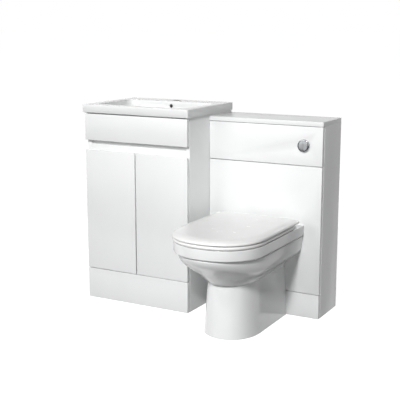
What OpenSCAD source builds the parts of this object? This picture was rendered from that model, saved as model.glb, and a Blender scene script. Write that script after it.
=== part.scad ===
// Toilet and basin combination unit: a two-door basin cabinet joined to a
// toilet unit that hides the cistern, with a back-to-wall pan in front of it.
// X runs along the wall, -Y is the front, Z is up. All sizes are millimetres.

/* [Basin cabinet] */
// Outside width of the basin cabinet
vanity_w = 498; // [420:1:600]
// Depth from the wall to the door fronts
vanity_d = 388; // [340:1:460]
// Height from the floor to the underside of the basin
vanity_h = 806; // [760:1:900]
// Height of the basin cabinet's plinth
vanity_plinth_h = 131; // [90:1:170]
// Height of the fascia under the basin
fascia_h = 111; // [90:1:135]
// Height of the finger recess above the doors
recess_h = 42; // [30:1:55]
// Height of the shelf above the bottom board, as its top face
shelf_rise = 235; // [180:5:300]
// Depth of the shelf
shelf_d = 300; // [240:5:320]

/* [Toilet unit] */
// Outside width of the toilet unit
wc_w = 500; // [480:1:600]
// Depth of the toilet unit
wc_d = 200; // [190:1:250]
// Height of the toilet unit with its worktop
wc_h = 800; // [780:1:860]
// Height of the toilet unit's plinth
wc_plinth_h = 100; // [80:1:110]
// Height of the removable panel that carries the flush button
access_panel_h = 155; // [130:1:190]

/* [Boards] */
// Thickness of every carcass board
board_t = 18; // [15:1:19]
// Thickness of the doors and panels
front_t = 18; // [15:1:19]
// Gap between neighbouring fronts
reveal = 3; // [2:0.5:4]
// Gap between the two doors
door_gap = 6; // [3:0.5:8]
// How far a front stops short of the carcass side
edge_reveal = 1; // [1:0.5:2]
// Thickness of the door buffers
buffer_t = 2; // [1.5:0.5:3]
// Depth of the finger bevel behind the top edge of a door
grip_bevel_d = 12; // [8:1:13]
// Height of that finger bevel
grip_bevel_h = 25; // [15:1:30]

/* [Basin] */
// How far the basin stands past each side of its cabinet
basin_over = 6; // [2:0.5:10]
// Depth of the basin from the wall
basin_d = 395; // [350:1:470]
// Height of the basin's rim
basin_rim_h = 36; // [28:1:50]
// Width of the bowl's mouth
bowl_w = 430; // [340:1:440]
// Depth of the tap ledge behind the bowl
tap_ledge = 90; // [75:1:100]
// Width of the land in front of the bowl
front_land = 48; // [42:1:60]
// Depth of the bowl under the rim
bowl_depth = 110; // [90:1:120]
// Thickness of the basin's walls
basin_wall = 10; // [8:1:12]
// Diameter of the tap hole
tap_hole_d = 35; // [34:0.5:36]
// Distance of the tap hole from the wall
tap_back = 42; // [38:1:48]
// Diameter of the waste hole
waste_hole_d = 45; // [44:0.5:46]
// Diameter of the overflow hole
overflow_d = 16; // [14:1:20]

/* [Toilet pan] */
// Width of the pan at its rim
pan_w = 360; // [340:1:380]
// Projection of the rim from the toilet unit
pan_proj = 539; // [500:1:560]
// Height of the pan's rim
pan_h = 385; // [375:1:400]
// Height of the plain band round the rim
rim_band_h = 42; // [35:1:48]
// Width of the rim around the bowl
rim_w = 48; // [42:1:52]
// Width of the pedestal at the floor
foot_w = 224; // [200:1:240]
// Projection of the pedestal at the floor
foot_proj = 392; // [370:1:410]
// Wall thickness of the hollow pan
pan_wall = 12; // [10:1:13]
// Height of the soil outlet's centre
outlet_h = 185; // [180:1:190]
// Outside diameter of the outlet spigot
outlet_d = 102; // [98:1:106]
// Height of the flush inlet's centre
inlet_h = 330; // [325:1:332]

/* [Seat] */
// Thickness of the seat ring
seat_t = 14; // [12:1:16]
// Thickness of the lid
lid_t = 17.5; // [16:0.5:18]
// Height of the buffers under the seat and under the lid
seat_buffer_t = 3; // [2:0.5:4]
// Overhang of the lid over the rim at the front
lid_overhang = 11; // [6:1:14]
// Distance from the toilet unit to the seat's hinge axis
seat_hinge_y = 71; // [65:1:80]
// Spacing of the two seat fixings
seat_fix_spacing = 155; // [150:1:170]

/* [Cistern] */
// Width of the cistern tank
tank_w = 340; // [300:5:350]
// Depth of the cistern tank
tank_d = 125; // [110:1:128]
// Height of the cistern tank
tank_h = 300; // [280:5:305]
// Wall thickness of the tank
tank_wall = 4; // [3:0.5:5]
// Height of the tank's underside
tank_z = 430; // [425:1:435]
// Outside diameter of the flush pipe
flush_pipe_d = 44; // [40:1:46]
// Lift of the flush plug
plug_lift = 28; // [20:1:30]
// Rise of the float
float_rise = 70; // [50:1:80]

/* [Flush button] */
// Outside diameter of the button's bezel
bezel_d = 50; // [46:1:54]
// How far the bezel stands out of the panel
bezel_out = 10; // [8:1:12]
// Distance of the button's centre from the unit's right side
button_side = 79; // [75:1:90]
// Travel of each half of the button
button_travel = 5; // [4:0.5:6]

/* [Hidden] */
$fn = 64;
eps = 0.01;
fit = 0.1; // clearance of a fastener or a bush in its hole

// The row frame: origin under the middle of the whole object
front_y = -(wc_d + pan_proj + lid_overhang);
basin_w = vanity_w + 2 * basin_over;
shift_x = (vanity_w + basin_over - wc_w) / 2;
shift_y = -front_y / 2;

// Carcass planes, seen from the wall
fixed_t = front_t + buffer_t;          // fixed fronts are packed out flush with the doors
vanity_carcass_d = vanity_d - fixed_t;
wc_carcass_d = wc_d - front_t;
wc_side_h = wc_h - board_t;
fascia_top = vanity_h - 3;
fascia_z = fascia_top - fascia_h;
door_top = fascia_z - recess_h;
door_z = vanity_plinth_h + reveal;
door_h = door_top - door_z;
door_w = (vanity_w - door_gap) / 2 - edge_reveal;
bottom_z = vanity_plinth_h - board_t / 2;
shelf_z = bottom_z + board_t + shelf_rise;
rail_w = 100;
front_rail_z = door_top - 40;
access_z = wc_side_h - 2 - access_panel_h;
lower_z = wc_plinth_h + reveal;
lower_h = access_z - reveal - lower_z;

// Concealed hinges: u is measured in from the carcass side, v back from the door front.
// The door turns about the line u = 7, v = 7.5.
hinge_end = 90;                        // hinge centre from the door's end
hinge_zs = [door_z + hinge_end, door_top - hinge_end];
cup_u = 22.5;
cup_r = 17.4;
cup_in_r = 15.5;
cup_depth = 11.5;
arm_pivot = [25, 13];
link_end = [10.9, 15.6];
link_len = norm(link_end - arm_pivot);
link_ang = atan2(link_end[1] - arm_pivot[1], link_end[0] - arm_pivot[0]);
link_pin_r = 1.5;

// Cam fixings
cam_r = 7.5;
cam_t = 12;
cam_edge = 34;                         // cam centre from the board's end

// Basin
basin_top = vanity_h + basin_rim_h;
basin_x = -vanity_w / 2;
bowl_front_y = -(basin_d - front_land);
bowl_mid_y = (bowl_front_y - tap_ledge) / 2;
bowl_l = -tap_ledge - bowl_front_y;
bowl_floor_z = basin_top - bowl_depth;
bowl_taper = 18;                       // how much each bowl wall leans in
waste_boss_h = 22;
duct_w = 40;                           // overflow duct behind and under the bowl
duct_in = 18;
duct_t = 16;

// Pan: each outline is half width, front, length of the rounded nose, and height
pan_x = wc_w / 2;
pan_back = -wc_d;
rim_front = pan_back - pan_proj;
band_z = pan_h - rim_band_h;
nose = 2.2;                            // squareness of the rounded nose
belly_in = pan_w / 2 - 4.5;            // the belly is set in under the band
belly_front = rim_front + 9;
// share of the belly's half width, set-back of its front, nose length, drop under the band
belly_rows = [
    [1, 0, 165, 0], [0.997, 25, 162, 18], [0.988, 49, 158, 38], [0.968, 74, 148, 58],
    [0.912, 98, 132, 78], [0.798, 122, 125, 98], [0.644, 144, 128, 118], [0.547, 153, 130, 135]
];
belly_bottom = band_z - belly_rows[len(belly_rows) - 1][3];
neck_w = belly_in * belly_rows[len(belly_rows) - 1][0];
bowl_back = pan_back - 132;            // rear of the pan's mouth
sump = [pan_back - 252, 78, 44];       // centre from the wall, floor height and radius
trap_r = 28;
trap_top = [pan_back - 145, 200];
outlet_r = outlet_d / 2;
outlet_len = 75;
spigot_wall = 6;
inlet_r = 27.6;
hinge_axis = [-wc_d - seat_hinge_y, pan_h + seat_buffer_t + seat_t + seat_buffer_t / 2];
seat_z = pan_h + seat_buffer_t;
lid_z = seat_z + seat_t + seat_buffer_t - 1;
lid_roll = lid_t + (lid_z - hinge_axis[1]);
seat_front = rim_front - lid_overhang + 3;
lid_front = rim_front - lid_overhang;
pin_r = 3.5;
knuckle_r = 8;
seat_fix_r = 6;

// Cistern
tank_x = 220;
tank_y = -(board_t + 2) - tank_d / 2;
tank_top = tank_z + tank_h;
flush_y = tank_y - 5.5;
fill_x = 108;
stem_r = 12;
float_r = 26;
float_z = tank_z + 72;
float_h = 45;
tail_len = 42;
tail_r = 10.5;                         // half-inch pipe thread
pipe_r = flush_pipe_d / 2;
pipe_wall = 2.5;
pipe_bend = tank_z - 28 - inlet_h;
plug_r = 27;
seat_ring_z = tank_z + 10;
valve_tail_r = 28;
tower_r = 38;
tower_z = seat_ring_z + plug_lift + 47;
tower_h = 60;
tower_top = tower_z + tower_h;
tower_nipple_x = 27;
plug_stem_r = 10;

// Button
button_x = wc_w - button_side;
button_z = access_z + access_panel_h / 2 + 2;
body_r = 19;
cap_r = 19.5;
cap_out = 2;                           // the caps stand a little out of the bezel
half_gap = 0.8;

// ---------------------------------------------------------------- helpers

// Move from the wall frame to the row frame
module place() translate([shift_x, shift_y, 0]) children();

// A board given by its low corner and its size
module board(at, size) translate(at) cube(size);

// Cylinder along Y from y0 to y1
module rod_y(x, z, r, y0, y1) translate([x, y1, z]) rotate([90, 0, 0]) cylinder(r = r, h = y1 - y0);

// Cylinder along X from x0 to x1
module rod_x(y, z, r, x0, x1) translate([x0, y, z]) rotate([0, 90, 0]) cylinder(r = r, h = x1 - x0);

// Outline of a pan, seat or lid, centred on x = 0: straight sides and a rounded nose
function nose_outline(half_w, front, back, nose_l, n, steps) = concat(
    [[half_w, back]],
    [for (i = [0 : steps])
        let (a = 180 * i / steps, c = cos(a), s = sin(a))
        [half_w * sign(c) * pow(abs(c), 2 / n), front + nose_l * (1 - pow(abs(s), 2 / n))]],
    [[-half_w, back]]
);

// A thin slice of that outline at a height
module slice(half_w, front, back, nose_l, z, t = 0.2, steps = 28)
    translate([pan_x, 0, z]) linear_extrude(t)
        polygon(nose_outline(half_w, front, back, nose_l, nose, steps));

// Rectangle with round corners, centred
module round_rect(w, l, r) {
    square([w - 2 * r, l], center = true);
    square([w, l - 2 * r], center = true);
    for (sx = [-1, 1], sy = [-1, 1])
        translate([sx * (w / 2 - r), sy * (l / 2 - r)]) circle(r = r, $fn = 48);
}

// Tube swept along points, with a ring of sides at each point
function unit(v) = v / norm(v);
function along(p, i) = unit(p[min(i + 1, len(p) - 1)] - p[max(i - 1, 0)]);
function ring_at(c, d, r, sides) =
    let (u = unit(cross(d, abs(d[2]) > 0.9 ? [0, 1, 0] : [0, 0, 1])), w = cross(d, u))
    [for (k = [0 : sides - 1]) c + r * (cos(360 * k / sides) * u + sin(360 * k / sides) * w)];
module tube(p, r, sides) {
    rows = len(p);
    points = [for (i = [0 : rows - 1]) each ring_at(p[i], along(p, i), r, sides)];
    walls = [for (i = [0 : rows - 2], k = [0 : sides - 1])
        let (a = i * sides + k, b = i * sides + (k + 1) % sides)
        each [[a, b, b + sides], [a, b + sides, a + sides]]];
    caps = [for (k = [1 : sides - 2]) each
        [[0, k + 1, k], [(rows - 1) * sides, (rows - 1) * sides + k, (rows - 1) * sides + k + 1]]];
    polyhedron(points = points, faces = concat(walls, caps), convexity = 8);
}

// A point on a cubic Bezier curve
function bezier(a, b, c, d, t) = pow(1 - t, 3) * a + 3 * pow(1 - t, 2) * t * b
    + 3 * (1 - t) * pow(t, 2) * c + pow(t, 3) * d;

// Cam positions: [x, y] pairs along the two ends of a board
function cams_at(x0, x1, ys) = [for (x = [x0 + cam_edge, x1 - cam_edge], y = ys) [x, y]];

// ---------------------------------------------------------------- basin cabinet

vanity_in0 = -vanity_w + board_t;
vanity_in1 = -board_t;
bottom_cams = cams_at(vanity_in0, vanity_in1, [-vanity_carcass_d + 45, -60]);
back_rail_zs = [vanity_h - rail_w - 8, bottom_z + board_t + 30];
front_rail_h = fascia_z + 48 - front_rail_z;
rail_rebate_h = 17;
rail_rebate_d = 10;
bolt_y = -120;
bolt_zs = [300, 640];
bolt_r = 4;
bolt_head_r = 9;
bolt_head_t = 3;
shelf_pin_r = 2.5;
shelf_pin_ys = [-60, -shelf_d + 25];
bracket_t = 2;
bracket_leg = 34;
bracket_h = 34;
bracket_z = back_rail_zs[0] - bracket_h - 12;
wall_screw_r = 3.5;

module carcass_side(depth, height) cube([board_t, depth, height]);

// Holes that a side panel has for the shelf pins, along X from its inner face
module pin_holes(face_x, inward) {
    for (y = shelf_pin_ys)
        rod_x(y, shelf_z - board_t - shelf_pin_r, shelf_pin_r + fit / 2,
              inward > 0 ? face_x - 8 : face_x - eps, inward > 0 ? face_x + eps : face_x + 8);
}

module bolt_holes(x0, x1) for (z = bolt_zs) rod_x(bolt_y, z, bolt_r + fit, x0, x1);

module vanity_side_left() color("white") place() difference() {
    translate([-vanity_w, -vanity_carcass_d, 0]) carcass_side(vanity_carcass_d, vanity_h);
    pin_holes(vanity_in0, 1);
}

module vanity_side_right() color("white") place() difference() {
    translate([-board_t, -vanity_carcass_d, 0]) carcass_side(vanity_carcass_d, vanity_h);
    pin_holes(vanity_in1, -1);
    bolt_holes(-board_t - eps, eps);
}

module vanity_bottom_board() color("white") place() difference() {
    board([vanity_in0, -vanity_carcass_d, bottom_z],
          [vanity_in1 - vanity_in0, vanity_carcass_d - 20, board_t]);
    for (p = bottom_cams) translate([p[0], p[1], bottom_z - eps]) cylinder(r = cam_r + fit, h = cam_t + 0.5);
}

module vanity_back_rails() color("white") place() difference() {
    for (z = back_rail_zs)
        board([vanity_in0, -board_t, z], [vanity_in1 - vanity_in0, board_t, rail_w]);
    for (z = back_rail_zs, x = [vanity_in0 + cam_edge, vanity_in1 - cam_edge])
        rod_y(x, z + rail_w / 2, cam_r + fit, -board_t - eps, -board_t + cam_t + 0.5);
}

// The rail behind the finger recess, rebated where the fascia's lower edge overhangs it
module vanity_front_rail() color("white") place() difference() {
    board([vanity_in0, -vanity_carcass_d, front_rail_z], [vanity_in1 - vanity_in0, board_t, front_rail_h]);
    board([vanity_in0 - eps, -vanity_carcass_d - eps, fascia_z - rail_rebate_h],
          [vanity_in1 - vanity_in0 + 2 * eps, rail_rebate_d + eps, rail_rebate_h + 8]);
}

module vanity_fascia() color("white") place()
    board([-vanity_w + edge_reveal, -vanity_d, fascia_z], [vanity_w - 2 * edge_reveal, fixed_t, fascia_h]);

module vanity_plinth() color("white") place()
    board([-vanity_w + edge_reveal, -vanity_d, 0], [vanity_w - 2 * edge_reveal, fixed_t, vanity_plinth_h]);

module vanity_shelf() color("white") place()
    board([vanity_in0 + 1, -shelf_d, shelf_z - board_t],
          [vanity_in1 - vanity_in0 - 2, shelf_d - 20, board_t]);

module shelf_pins() color("silver") place()
    for (y = shelf_pin_ys, side = [0, 1]) {
        x0 = side == 0 ? vanity_in0 - 7.5 : vanity_in1 - 9;
        rod_x(y, shelf_z - board_t - shelf_pin_r, shelf_pin_r, x0, x0 + 16.5);
    }

module vanity_cams() color("silver") place() {
    for (p = bottom_cams) translate([p[0], p[1], bottom_z]) cylinder(r = cam_r, h = cam_t);
    for (z = back_rail_zs, x = [vanity_in0 + cam_edge, vanity_in1 - cam_edge])
        rod_y(x, z + rail_w / 2, cam_r, -board_t, -board_t + cam_t);
}

// Angle bracket on a side panel's inner face, with its drilled leg on the wall
module wall_bracket(face_x, inward, z) difference() {
    union() {
        translate([inward > 0 ? face_x : face_x - bracket_t, -bracket_leg, z])
            cube([bracket_t, bracket_leg, bracket_h]);
        translate([inward > 0 ? face_x : face_x - bracket_leg, -bracket_t, z])
            cube([bracket_leg, bracket_t, bracket_h]);
    }
    rod_y(face_x + inward * bracket_leg / 2, z + bracket_h / 2, wall_screw_r, -bracket_t - eps, eps);
}

module vanity_wall_brackets() color("silver") place() {
    wall_bracket(vanity_in0, 1, bracket_z);
    wall_bracket(vanity_in1, -1, bracket_z);
}

// The right door in hinge axes: u to the left of the carcass side, v back from the front
module door_shape() difference() {
    translate([edge_reveal, 0, door_z]) cube([door_w, front_t, door_h]);
    translate([edge_reveal - eps, front_t, door_top - grip_bevel_h])
        rotate([90, 0, 90]) linear_extrude(door_w + 2 * eps)
            polygon([[eps, 0], [eps, grip_bevel_h + eps], [-grip_bevel_d, grip_bevel_h + eps]]);
    for (z = hinge_zs)
        translate([cup_u, front_t + eps, z]) rotate([90, 0, 0])
            cylinder(r = cup_r + fit, h = cup_depth + fit + eps);
}

// Hinge axes to the wall frame, for the left or the right door
module at_left() translate([-vanity_w, -vanity_d, 0]) children();
module at_right() translate([0, -vanity_d, 0]) mirror([1, 0, 0]) children();

module door_left() color("white") place() at_left() door_shape();
module door_right() color("white") place() at_right() door_shape();

module door_buffers() color("lightgray") place()
    for (side = [-1, 1], z = [front_rail_z + 8, bottom_z + board_t - 3])
        rod_y(-vanity_w / 2 + side * 14, z, 2.4, -vanity_d + front_t, -vanity_carcass_d);

// Hinge cup: a round pan let into the door, with a flange on the door's back
module hinge_cup(z) translate([cup_u, front_t, z]) difference() {
    union() {
        rotate([90, 0, 0]) cylinder(r = cup_r, h = cup_depth);
        translate([-11, 0, -26]) cube([24, 1.2, 52]);
    }
    translate([0, 2, 0]) rotate([90, 0, 0]) cylinder(r = cup_in_r, h = cup_depth + 1);
    translate([-cup_r - 1, -cup_depth + 2, -7]) cube([12, cup_depth + 1, 14]);
    for (s = [-1, 1]) translate([0, 2, s * 22.5]) rotate([90, 0, 0]) cylinder(r = 2, h = 4);
}

// Hinge arm: fixed on a plate on the side panel, with two ears and a pin for the link
module hinge_arm(z) translate([0, 0, z]) {
    arm_v = 18;
    ear_t = 2.4;
    plate_v = fixed_t + 24;
    translate([board_t, plate_v, -22]) cube([3, 32, 44]);
    translate([board_t + 3, arm_v, -6]) cube([7.5, plate_v + 32 - arm_v, 12]);
    for (s = [-1, 1]) translate([0, 0, s * (3.3 + ear_t / 2) - ear_t / 2]) {
        translate([arm_pivot[0], arm_pivot[1], 0]) cylinder(r = 3, h = ear_t);
        translate([arm_pivot[0] - 3, arm_pivot[1], 0]) cube([6, arm_v - arm_pivot[1] + 1, ear_t]);
    }
    translate([arm_pivot[0], arm_pivot[1], -4]) cylinder(r = link_pin_r, h = 8);
}

// Hinge link: turns on the arm's pin, its far end free inside the cup
module hinge_link(z) translate([arm_pivot[0], arm_pivot[1], z - 3]) rotate([0, 0, link_ang])
    difference() {
        union() {
            cylinder(r = 2.7, h = 6);
            translate([link_len, 0, 0]) cylinder(r = 2, h = 6);
            translate([0, -0.8, 0]) cube([link_len, 1.6, 6]);
        }
        translate([0, 0, -1]) cylinder(r = link_pin_r + 0.06, h = 8);
    }

module hinge_cups_left() color("silver") place() at_left() for (z = hinge_zs) hinge_cup(z);
module hinge_cups_right() color("silver") place() at_right() for (z = hinge_zs) hinge_cup(z);
module hinge_arms_left() color("silver") place() at_left() for (z = hinge_zs) hinge_arm(z);
module hinge_arms_right() color("silver") place() at_right() for (z = hinge_zs) hinge_arm(z);
module hinge_links_left() color("silver") place() at_left() for (z = hinge_zs) hinge_link(z);
module hinge_links_right() color("silver") place() at_right() for (z = hinge_zs) hinge_link(z);

// Bolts that hold the two cabinets side by side
module joining_bolts() color("silver") place() for (z = bolt_zs) {
    rod_x(bolt_y, z, bolt_r, -board_t - bolt_head_t, board_t + bolt_head_t);
    rod_x(bolt_y, z, bolt_head_r, -board_t - bolt_head_t, -board_t);
    rod_x(bolt_y, z, bolt_head_r, board_t, board_t + bolt_head_t);
}

// ---------------------------------------------------------------- basin

// The bowl as a solid: grow is 0 for the hollow and the wall thickness for its outside
module bowl_solid(grow, top_z) {
    bottom_r = 55;
    hull() {
        translate([basin_x, bowl_mid_y, top_z]) linear_extrude(0.2)
            round_rect(bowl_w + 2 * grow, bowl_l + 2 * grow, 28 + grow);
        translate([basin_x, bowl_mid_y, bowl_floor_z + 22 - grow]) linear_extrude(0.2)
            round_rect(bowl_w - bowl_taper + 2 * grow, bowl_l - bowl_taper + 2 * grow, 34 + grow);
        translate([basin_x, bowl_mid_y, bowl_floor_z + 5 - grow]) linear_extrude(0.2)
            round_rect(bowl_w - 3 * bowl_taper, bowl_l - 3 * bowl_taper, bottom_r);
        translate([basin_x, bowl_mid_y, bowl_floor_z - grow]) cylinder(r = bottom_r, h = 0.2);
    }
}

module basin() color("white") place() difference() {
    union() {
        difference() {
            translate([basin_x, -basin_d / 2, vanity_h]) linear_extrude(basin_rim_h)
                round_rect(basin_w, basin_d, 4);
            translate([basin_x, -basin_d / 2, vanity_h - 1]) linear_extrude(basin_rim_h - basin_wall + 1)
                round_rect(basin_w - 2 * 24, basin_d - 2 * 24, 4);
        }
        bowl_solid(basin_wall, basin_top - basin_wall);
        translate([basin_x, bowl_mid_y, bowl_floor_z - waste_boss_h]) cylinder(r = 33, h = waste_boss_h);
        // overflow duct: down the back of the bowl and under it to the waste
        translate([basin_x - duct_w / 2, -tap_ledge - 12, bowl_floor_z - duct_t])
            cube([duct_w, duct_t + 12, basin_top - basin_wall - bowl_floor_z + duct_t]);
        translate([basin_x - duct_w / 2, bowl_mid_y, bowl_floor_z - duct_t])
            cube([duct_w, -tap_ledge + duct_t - bowl_mid_y, duct_t]);
    }
    bowl_solid(0, basin_top);
    translate([basin_x, -tap_back, vanity_h]) cylinder(r = tap_hole_d / 2, h = basin_rim_h + 1);
    translate([basin_x, bowl_mid_y, bowl_floor_z - waste_boss_h - 1])
        cylinder(r = waste_hole_d / 2, h = waste_boss_h + 10);
    rod_y(basin_x, basin_top - 21, overflow_d / 2, -tap_ledge - 20, -tap_ledge + 6);
    translate([basin_x - duct_in / 2, -tap_ledge + 3, bowl_floor_z - duct_t + 4])
        cube([duct_in, duct_t - 7, basin_top - 12 - bowl_floor_z + duct_t - 4]);
    translate([basin_x - duct_in / 2, bowl_mid_y, bowl_floor_z - duct_t + 4])
        cube([duct_in, -tap_ledge + duct_t - 4 - bowl_mid_y, 5]);
}

// ---------------------------------------------------------------- toilet unit

wc_in0 = board_t;
wc_in1 = wc_w - board_t;
wc_top_rail_d = 60;
wc_front_rail_zs = [wc_plinth_h - 35, access_z - 30];
wc_front_rail_h = 60;
wc_back_rail_zs = [20, wc_side_h - board_t - rail_w - 2];
shelf_board_z = tank_z - board_t;
shelf_board_d = 150;
wc_cam_xs = [wc_in0 + cam_edge, wc_in1 - cam_edge];
flush_hole_r = 40;
soil_hole_r = outlet_r + 9;

module wc_side_left() color("white") place() difference() {
    translate([0, -wc_carcass_d, 0]) carcass_side(wc_carcass_d, wc_side_h);
    bolt_holes(-eps, board_t + eps);
}

module wc_side_right() color("white") place()
    translate([wc_in1, -wc_carcass_d, 0]) carcass_side(wc_carcass_d, wc_side_h);

module wc_worktop() color("white") place() board([0, -wc_d, wc_side_h], [wc_w, wc_d, board_t]);

module access_panel() color("white") place() difference() {
    board([edge_reveal, -wc_d, access_z], [wc_w - 2 * edge_reveal, front_t, access_panel_h]);
    rod_y(button_x, button_z, body_r + 0.5, -wc_d - eps, -wc_carcass_d + eps);
}

module lower_panel() color("white") place() difference() {
    board([edge_reveal, -wc_d, lower_z], [wc_w - 2 * edge_reveal, front_t, lower_h]);
    rod_y(pan_x, inlet_h, flush_hole_r, -wc_d - eps, -wc_carcass_d + eps);
    rod_y(pan_x, outlet_h, soil_hole_r, -wc_d - eps, -wc_carcass_d + eps);
}

module wc_plinth() color("white") place()
    board([edge_reveal, -wc_d, 0], [wc_w - 2 * edge_reveal, front_t, wc_plinth_h]);

module wc_top_rails() color("white") place() difference() {
    for (y = [-wc_carcass_d, -wc_top_rail_d])
        board([wc_in0, y, wc_side_h - board_t], [wc_in1 - wc_in0, wc_top_rail_d, board_t]);
    for (y = [-wc_carcass_d + wc_top_rail_d / 2, -wc_top_rail_d / 2], x = wc_cam_xs)
        translate([x, y, wc_side_h - board_t - eps]) cylinder(r = cam_r + fit, h = cam_t + 0.5);
}

module wc_front_rails() color("white") place() difference() {
    for (z = wc_front_rail_zs)
        board([wc_in0, -wc_carcass_d, z], [wc_in1 - wc_in0, board_t, wc_front_rail_h]);
    for (z = wc_front_rail_zs, x = wc_cam_xs)
        rod_y(x, z + wc_front_rail_h / 2, cam_r + fit,
              -wc_carcass_d + board_t - cam_t - 0.5, -wc_carcass_d + board_t + eps);
}

module wc_back_rails() color("white") place()
    for (z = wc_back_rail_zs)
        board([wc_in0, -board_t, z], [wc_in1 - wc_in0, board_t, z > tank_z ? 50 : rail_w - 10]);

module cistern_shelf() color("white") place() difference() {
    board([wc_in0, -shelf_board_d, shelf_board_z], [wc_in1 - wc_in0, shelf_board_d, board_t]);
    translate([pan_x, flush_y, shelf_board_z - 1]) cylinder(r = 40, h = board_t + 2);
    translate([fill_x, flush_y, shelf_board_z - 1]) cylinder(r = 24, h = board_t + 2);
}

// Spring clips that hold the access panel on the carcass: a block on the side, a finger on the panel
module panel_clips() color("gray") place()
    for (x = [wc_in0, wc_in1 - 14], z = [access_z + 50, access_z + 95])
        board([x, -wc_carcass_d, z], [14, 22, 16]);

module wc_cams() color("silver") place() {
    for (y = [-wc_carcass_d + wc_top_rail_d / 2, -wc_top_rail_d / 2], x = wc_cam_xs)
        translate([x, y, wc_side_h - board_t]) cylinder(r = cam_r, h = cam_t);
    for (z = wc_front_rail_zs, x = wc_cam_xs)
        rod_y(x, z + wc_front_rail_h / 2, cam_r,
              -wc_carcass_d + board_t - cam_t, -wc_carcass_d + board_t);
}

wc_bracket_z = 340;
module wc_wall_brackets() color("silver") place() {
    wall_bracket(wc_in0, 1, wc_bracket_z);
    wall_bracket(wc_in1, -1, wc_bracket_z);
}

// ---------------------------------------------------------------- cistern

tube_hole = [tank_x + tank_w / 2, -100, tank_top - 18];

module cistern_tank() color("whitesmoke") place() difference() {
    translate([tank_x, tank_y, tank_z]) linear_extrude(tank_h) round_rect(tank_w, tank_d, 12);
    translate([tank_x, tank_y, tank_z + tank_wall]) linear_extrude(tank_h)
        round_rect(tank_w - 2 * tank_wall, tank_d - 2 * tank_wall, 9);
    translate([pan_x, flush_y, tank_z - 1]) cylinder(r = valve_tail_r + 0.5, h = tank_wall + 2);
    translate([fill_x, flush_y, tank_z - 1]) cylinder(r = 10.8, h = tank_wall + 2);
    translate([tube_hole[0] - tank_wall - 1, tube_hole[1] - 12, tube_hole[2] - 6])
        cube([tank_wall + 2, 24, 12]);
}

module cistern_lid() color("whitesmoke") place() {
    translate([tank_x, tank_y, tank_top]) linear_extrude(4) round_rect(tank_w + 4, tank_d + 4, 14);
    translate([tank_x, tank_y, tank_top - 8]) linear_extrude(8 + eps) difference() {
        round_rect(tank_w - 2 * tank_wall - 1, tank_d - 2 * tank_wall - 1, 8);
        round_rect(tank_w - 2 * tank_wall - 7, tank_d - 2 * tank_wall - 7, 6);
    }
}

// Bottom-entry fill valve: threaded tail, standing stem and head with its arm
module fill_valve() color("white") place() translate([fill_x, flush_y, 0]) difference() {
    union() {
        translate([0, 0, tank_z - tail_len]) cylinder(r = tail_r, h = tail_len - 12);
        translate([0, 0, tank_z - 13]) cylinder(r = tail_r - 0.2, h = 13 + tank_wall);
        translate([0, 0, tank_z + tank_wall]) cylinder(r = 18, h = 6);
        translate([0, 0, tank_z + tank_wall]) cylinder(r = stem_r, h = tank_h - 60);
        translate([0, 0, float_z - 4]) cylinder(r = 15, h = 3.7);
        translate([0, 0, float_z + float_h + float_rise + 4]) cylinder(r = 19, h = 34);
        translate([-6, 15, float_z + float_h + float_rise + 22]) cube([12, 14, 8]);
    }
    translate([0, 0, tank_z - tail_len - 1]) cylinder(r = 5.5, h = tank_h - 40);
}

module float() color("orange") place() translate([fill_x, flush_y, float_z]) difference() {
    cylinder(r = float_r, h = float_h);
    translate([0, 0, -1]) cylinder(r = stem_r + 0.4, h = float_h + 2);
    translate([0, 0, -1]) difference() {
        cylinder(r = float_r - 2.5, h = float_h - 3);
        translate([0, 0, -1]) cylinder(r = stem_r + 3, h = float_h);
    }
}

// Flush valve's body: tail through the tank's floor and the seat that the plug closes
module flush_valve() color("white") place() translate([pan_x, flush_y, 0]) difference() {
    union() {
        translate([0, 0, tank_z - 26]) cylinder(r = valve_tail_r, h = 26 + tank_wall);
        translate([0, 0, tank_z + tank_wall]) cylinder(r = tower_r, h = seat_ring_z - tank_z - tank_wall);
    }
    translate([0, 0, tank_z - 27]) cylinder(r = pipe_r + 0.4, h = 24);
    translate([0, 0, tank_z - 10]) cylinder(r = pipe_r - 1, h = 40);
}

// Flush tower: twists off the body, with a foot ring, cage posts and the guide for the plug's stem
module flush_tower() color("white") place() translate([pan_x, flush_y, 0]) difference() {
    union() {
        translate([0, 0, seat_ring_z]) cylinder(r = tower_r, h = 3);
        for (a = [45 : 90 : 315]) rotate([0, 0, a])
            translate([tower_r - 4, 0, seat_ring_z + 1]) cylinder(r = 3, h = tower_z - seat_ring_z);
        translate([0, 0, tower_z]) cylinder(r = tower_r, h = tower_h);
        for (s = [-1, 1]) translate([tower_nipple_x, s * 8, tower_top - eps])
            cylinder(r = 3, h = 9 + eps);
    }
    translate([0, 0, seat_ring_z - 1]) cylinder(r = plug_r + 2.5, h = 5);
    translate([0, 0, tower_z - 1]) cylinder(r = tower_r - 4, h = tower_h - 5);
    translate([0, 0, tower_z - 1]) cylinder(r = plug_stem_r + 0.5, h = tower_h + 12);
}

// Flush plug: sealing disc on the overflow stem that the tower guides
module flush_plug() color("royalblue") place() translate([pan_x, flush_y, 0]) difference() {
    union() {
        translate([0, 0, seat_ring_z]) cylinder(r = plug_r, h = 6);
        translate([0, 0, seat_ring_z]) cylinder(r = plug_stem_r, h = tower_z + tower_h + 14 - seat_ring_z);
        translate([0, 0, seat_ring_z + 22]) cylinder(r = 20, h = 18);
    }
    translate([0, 0, seat_ring_z - 1]) cylinder(r = 8, h = 300);
}

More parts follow.
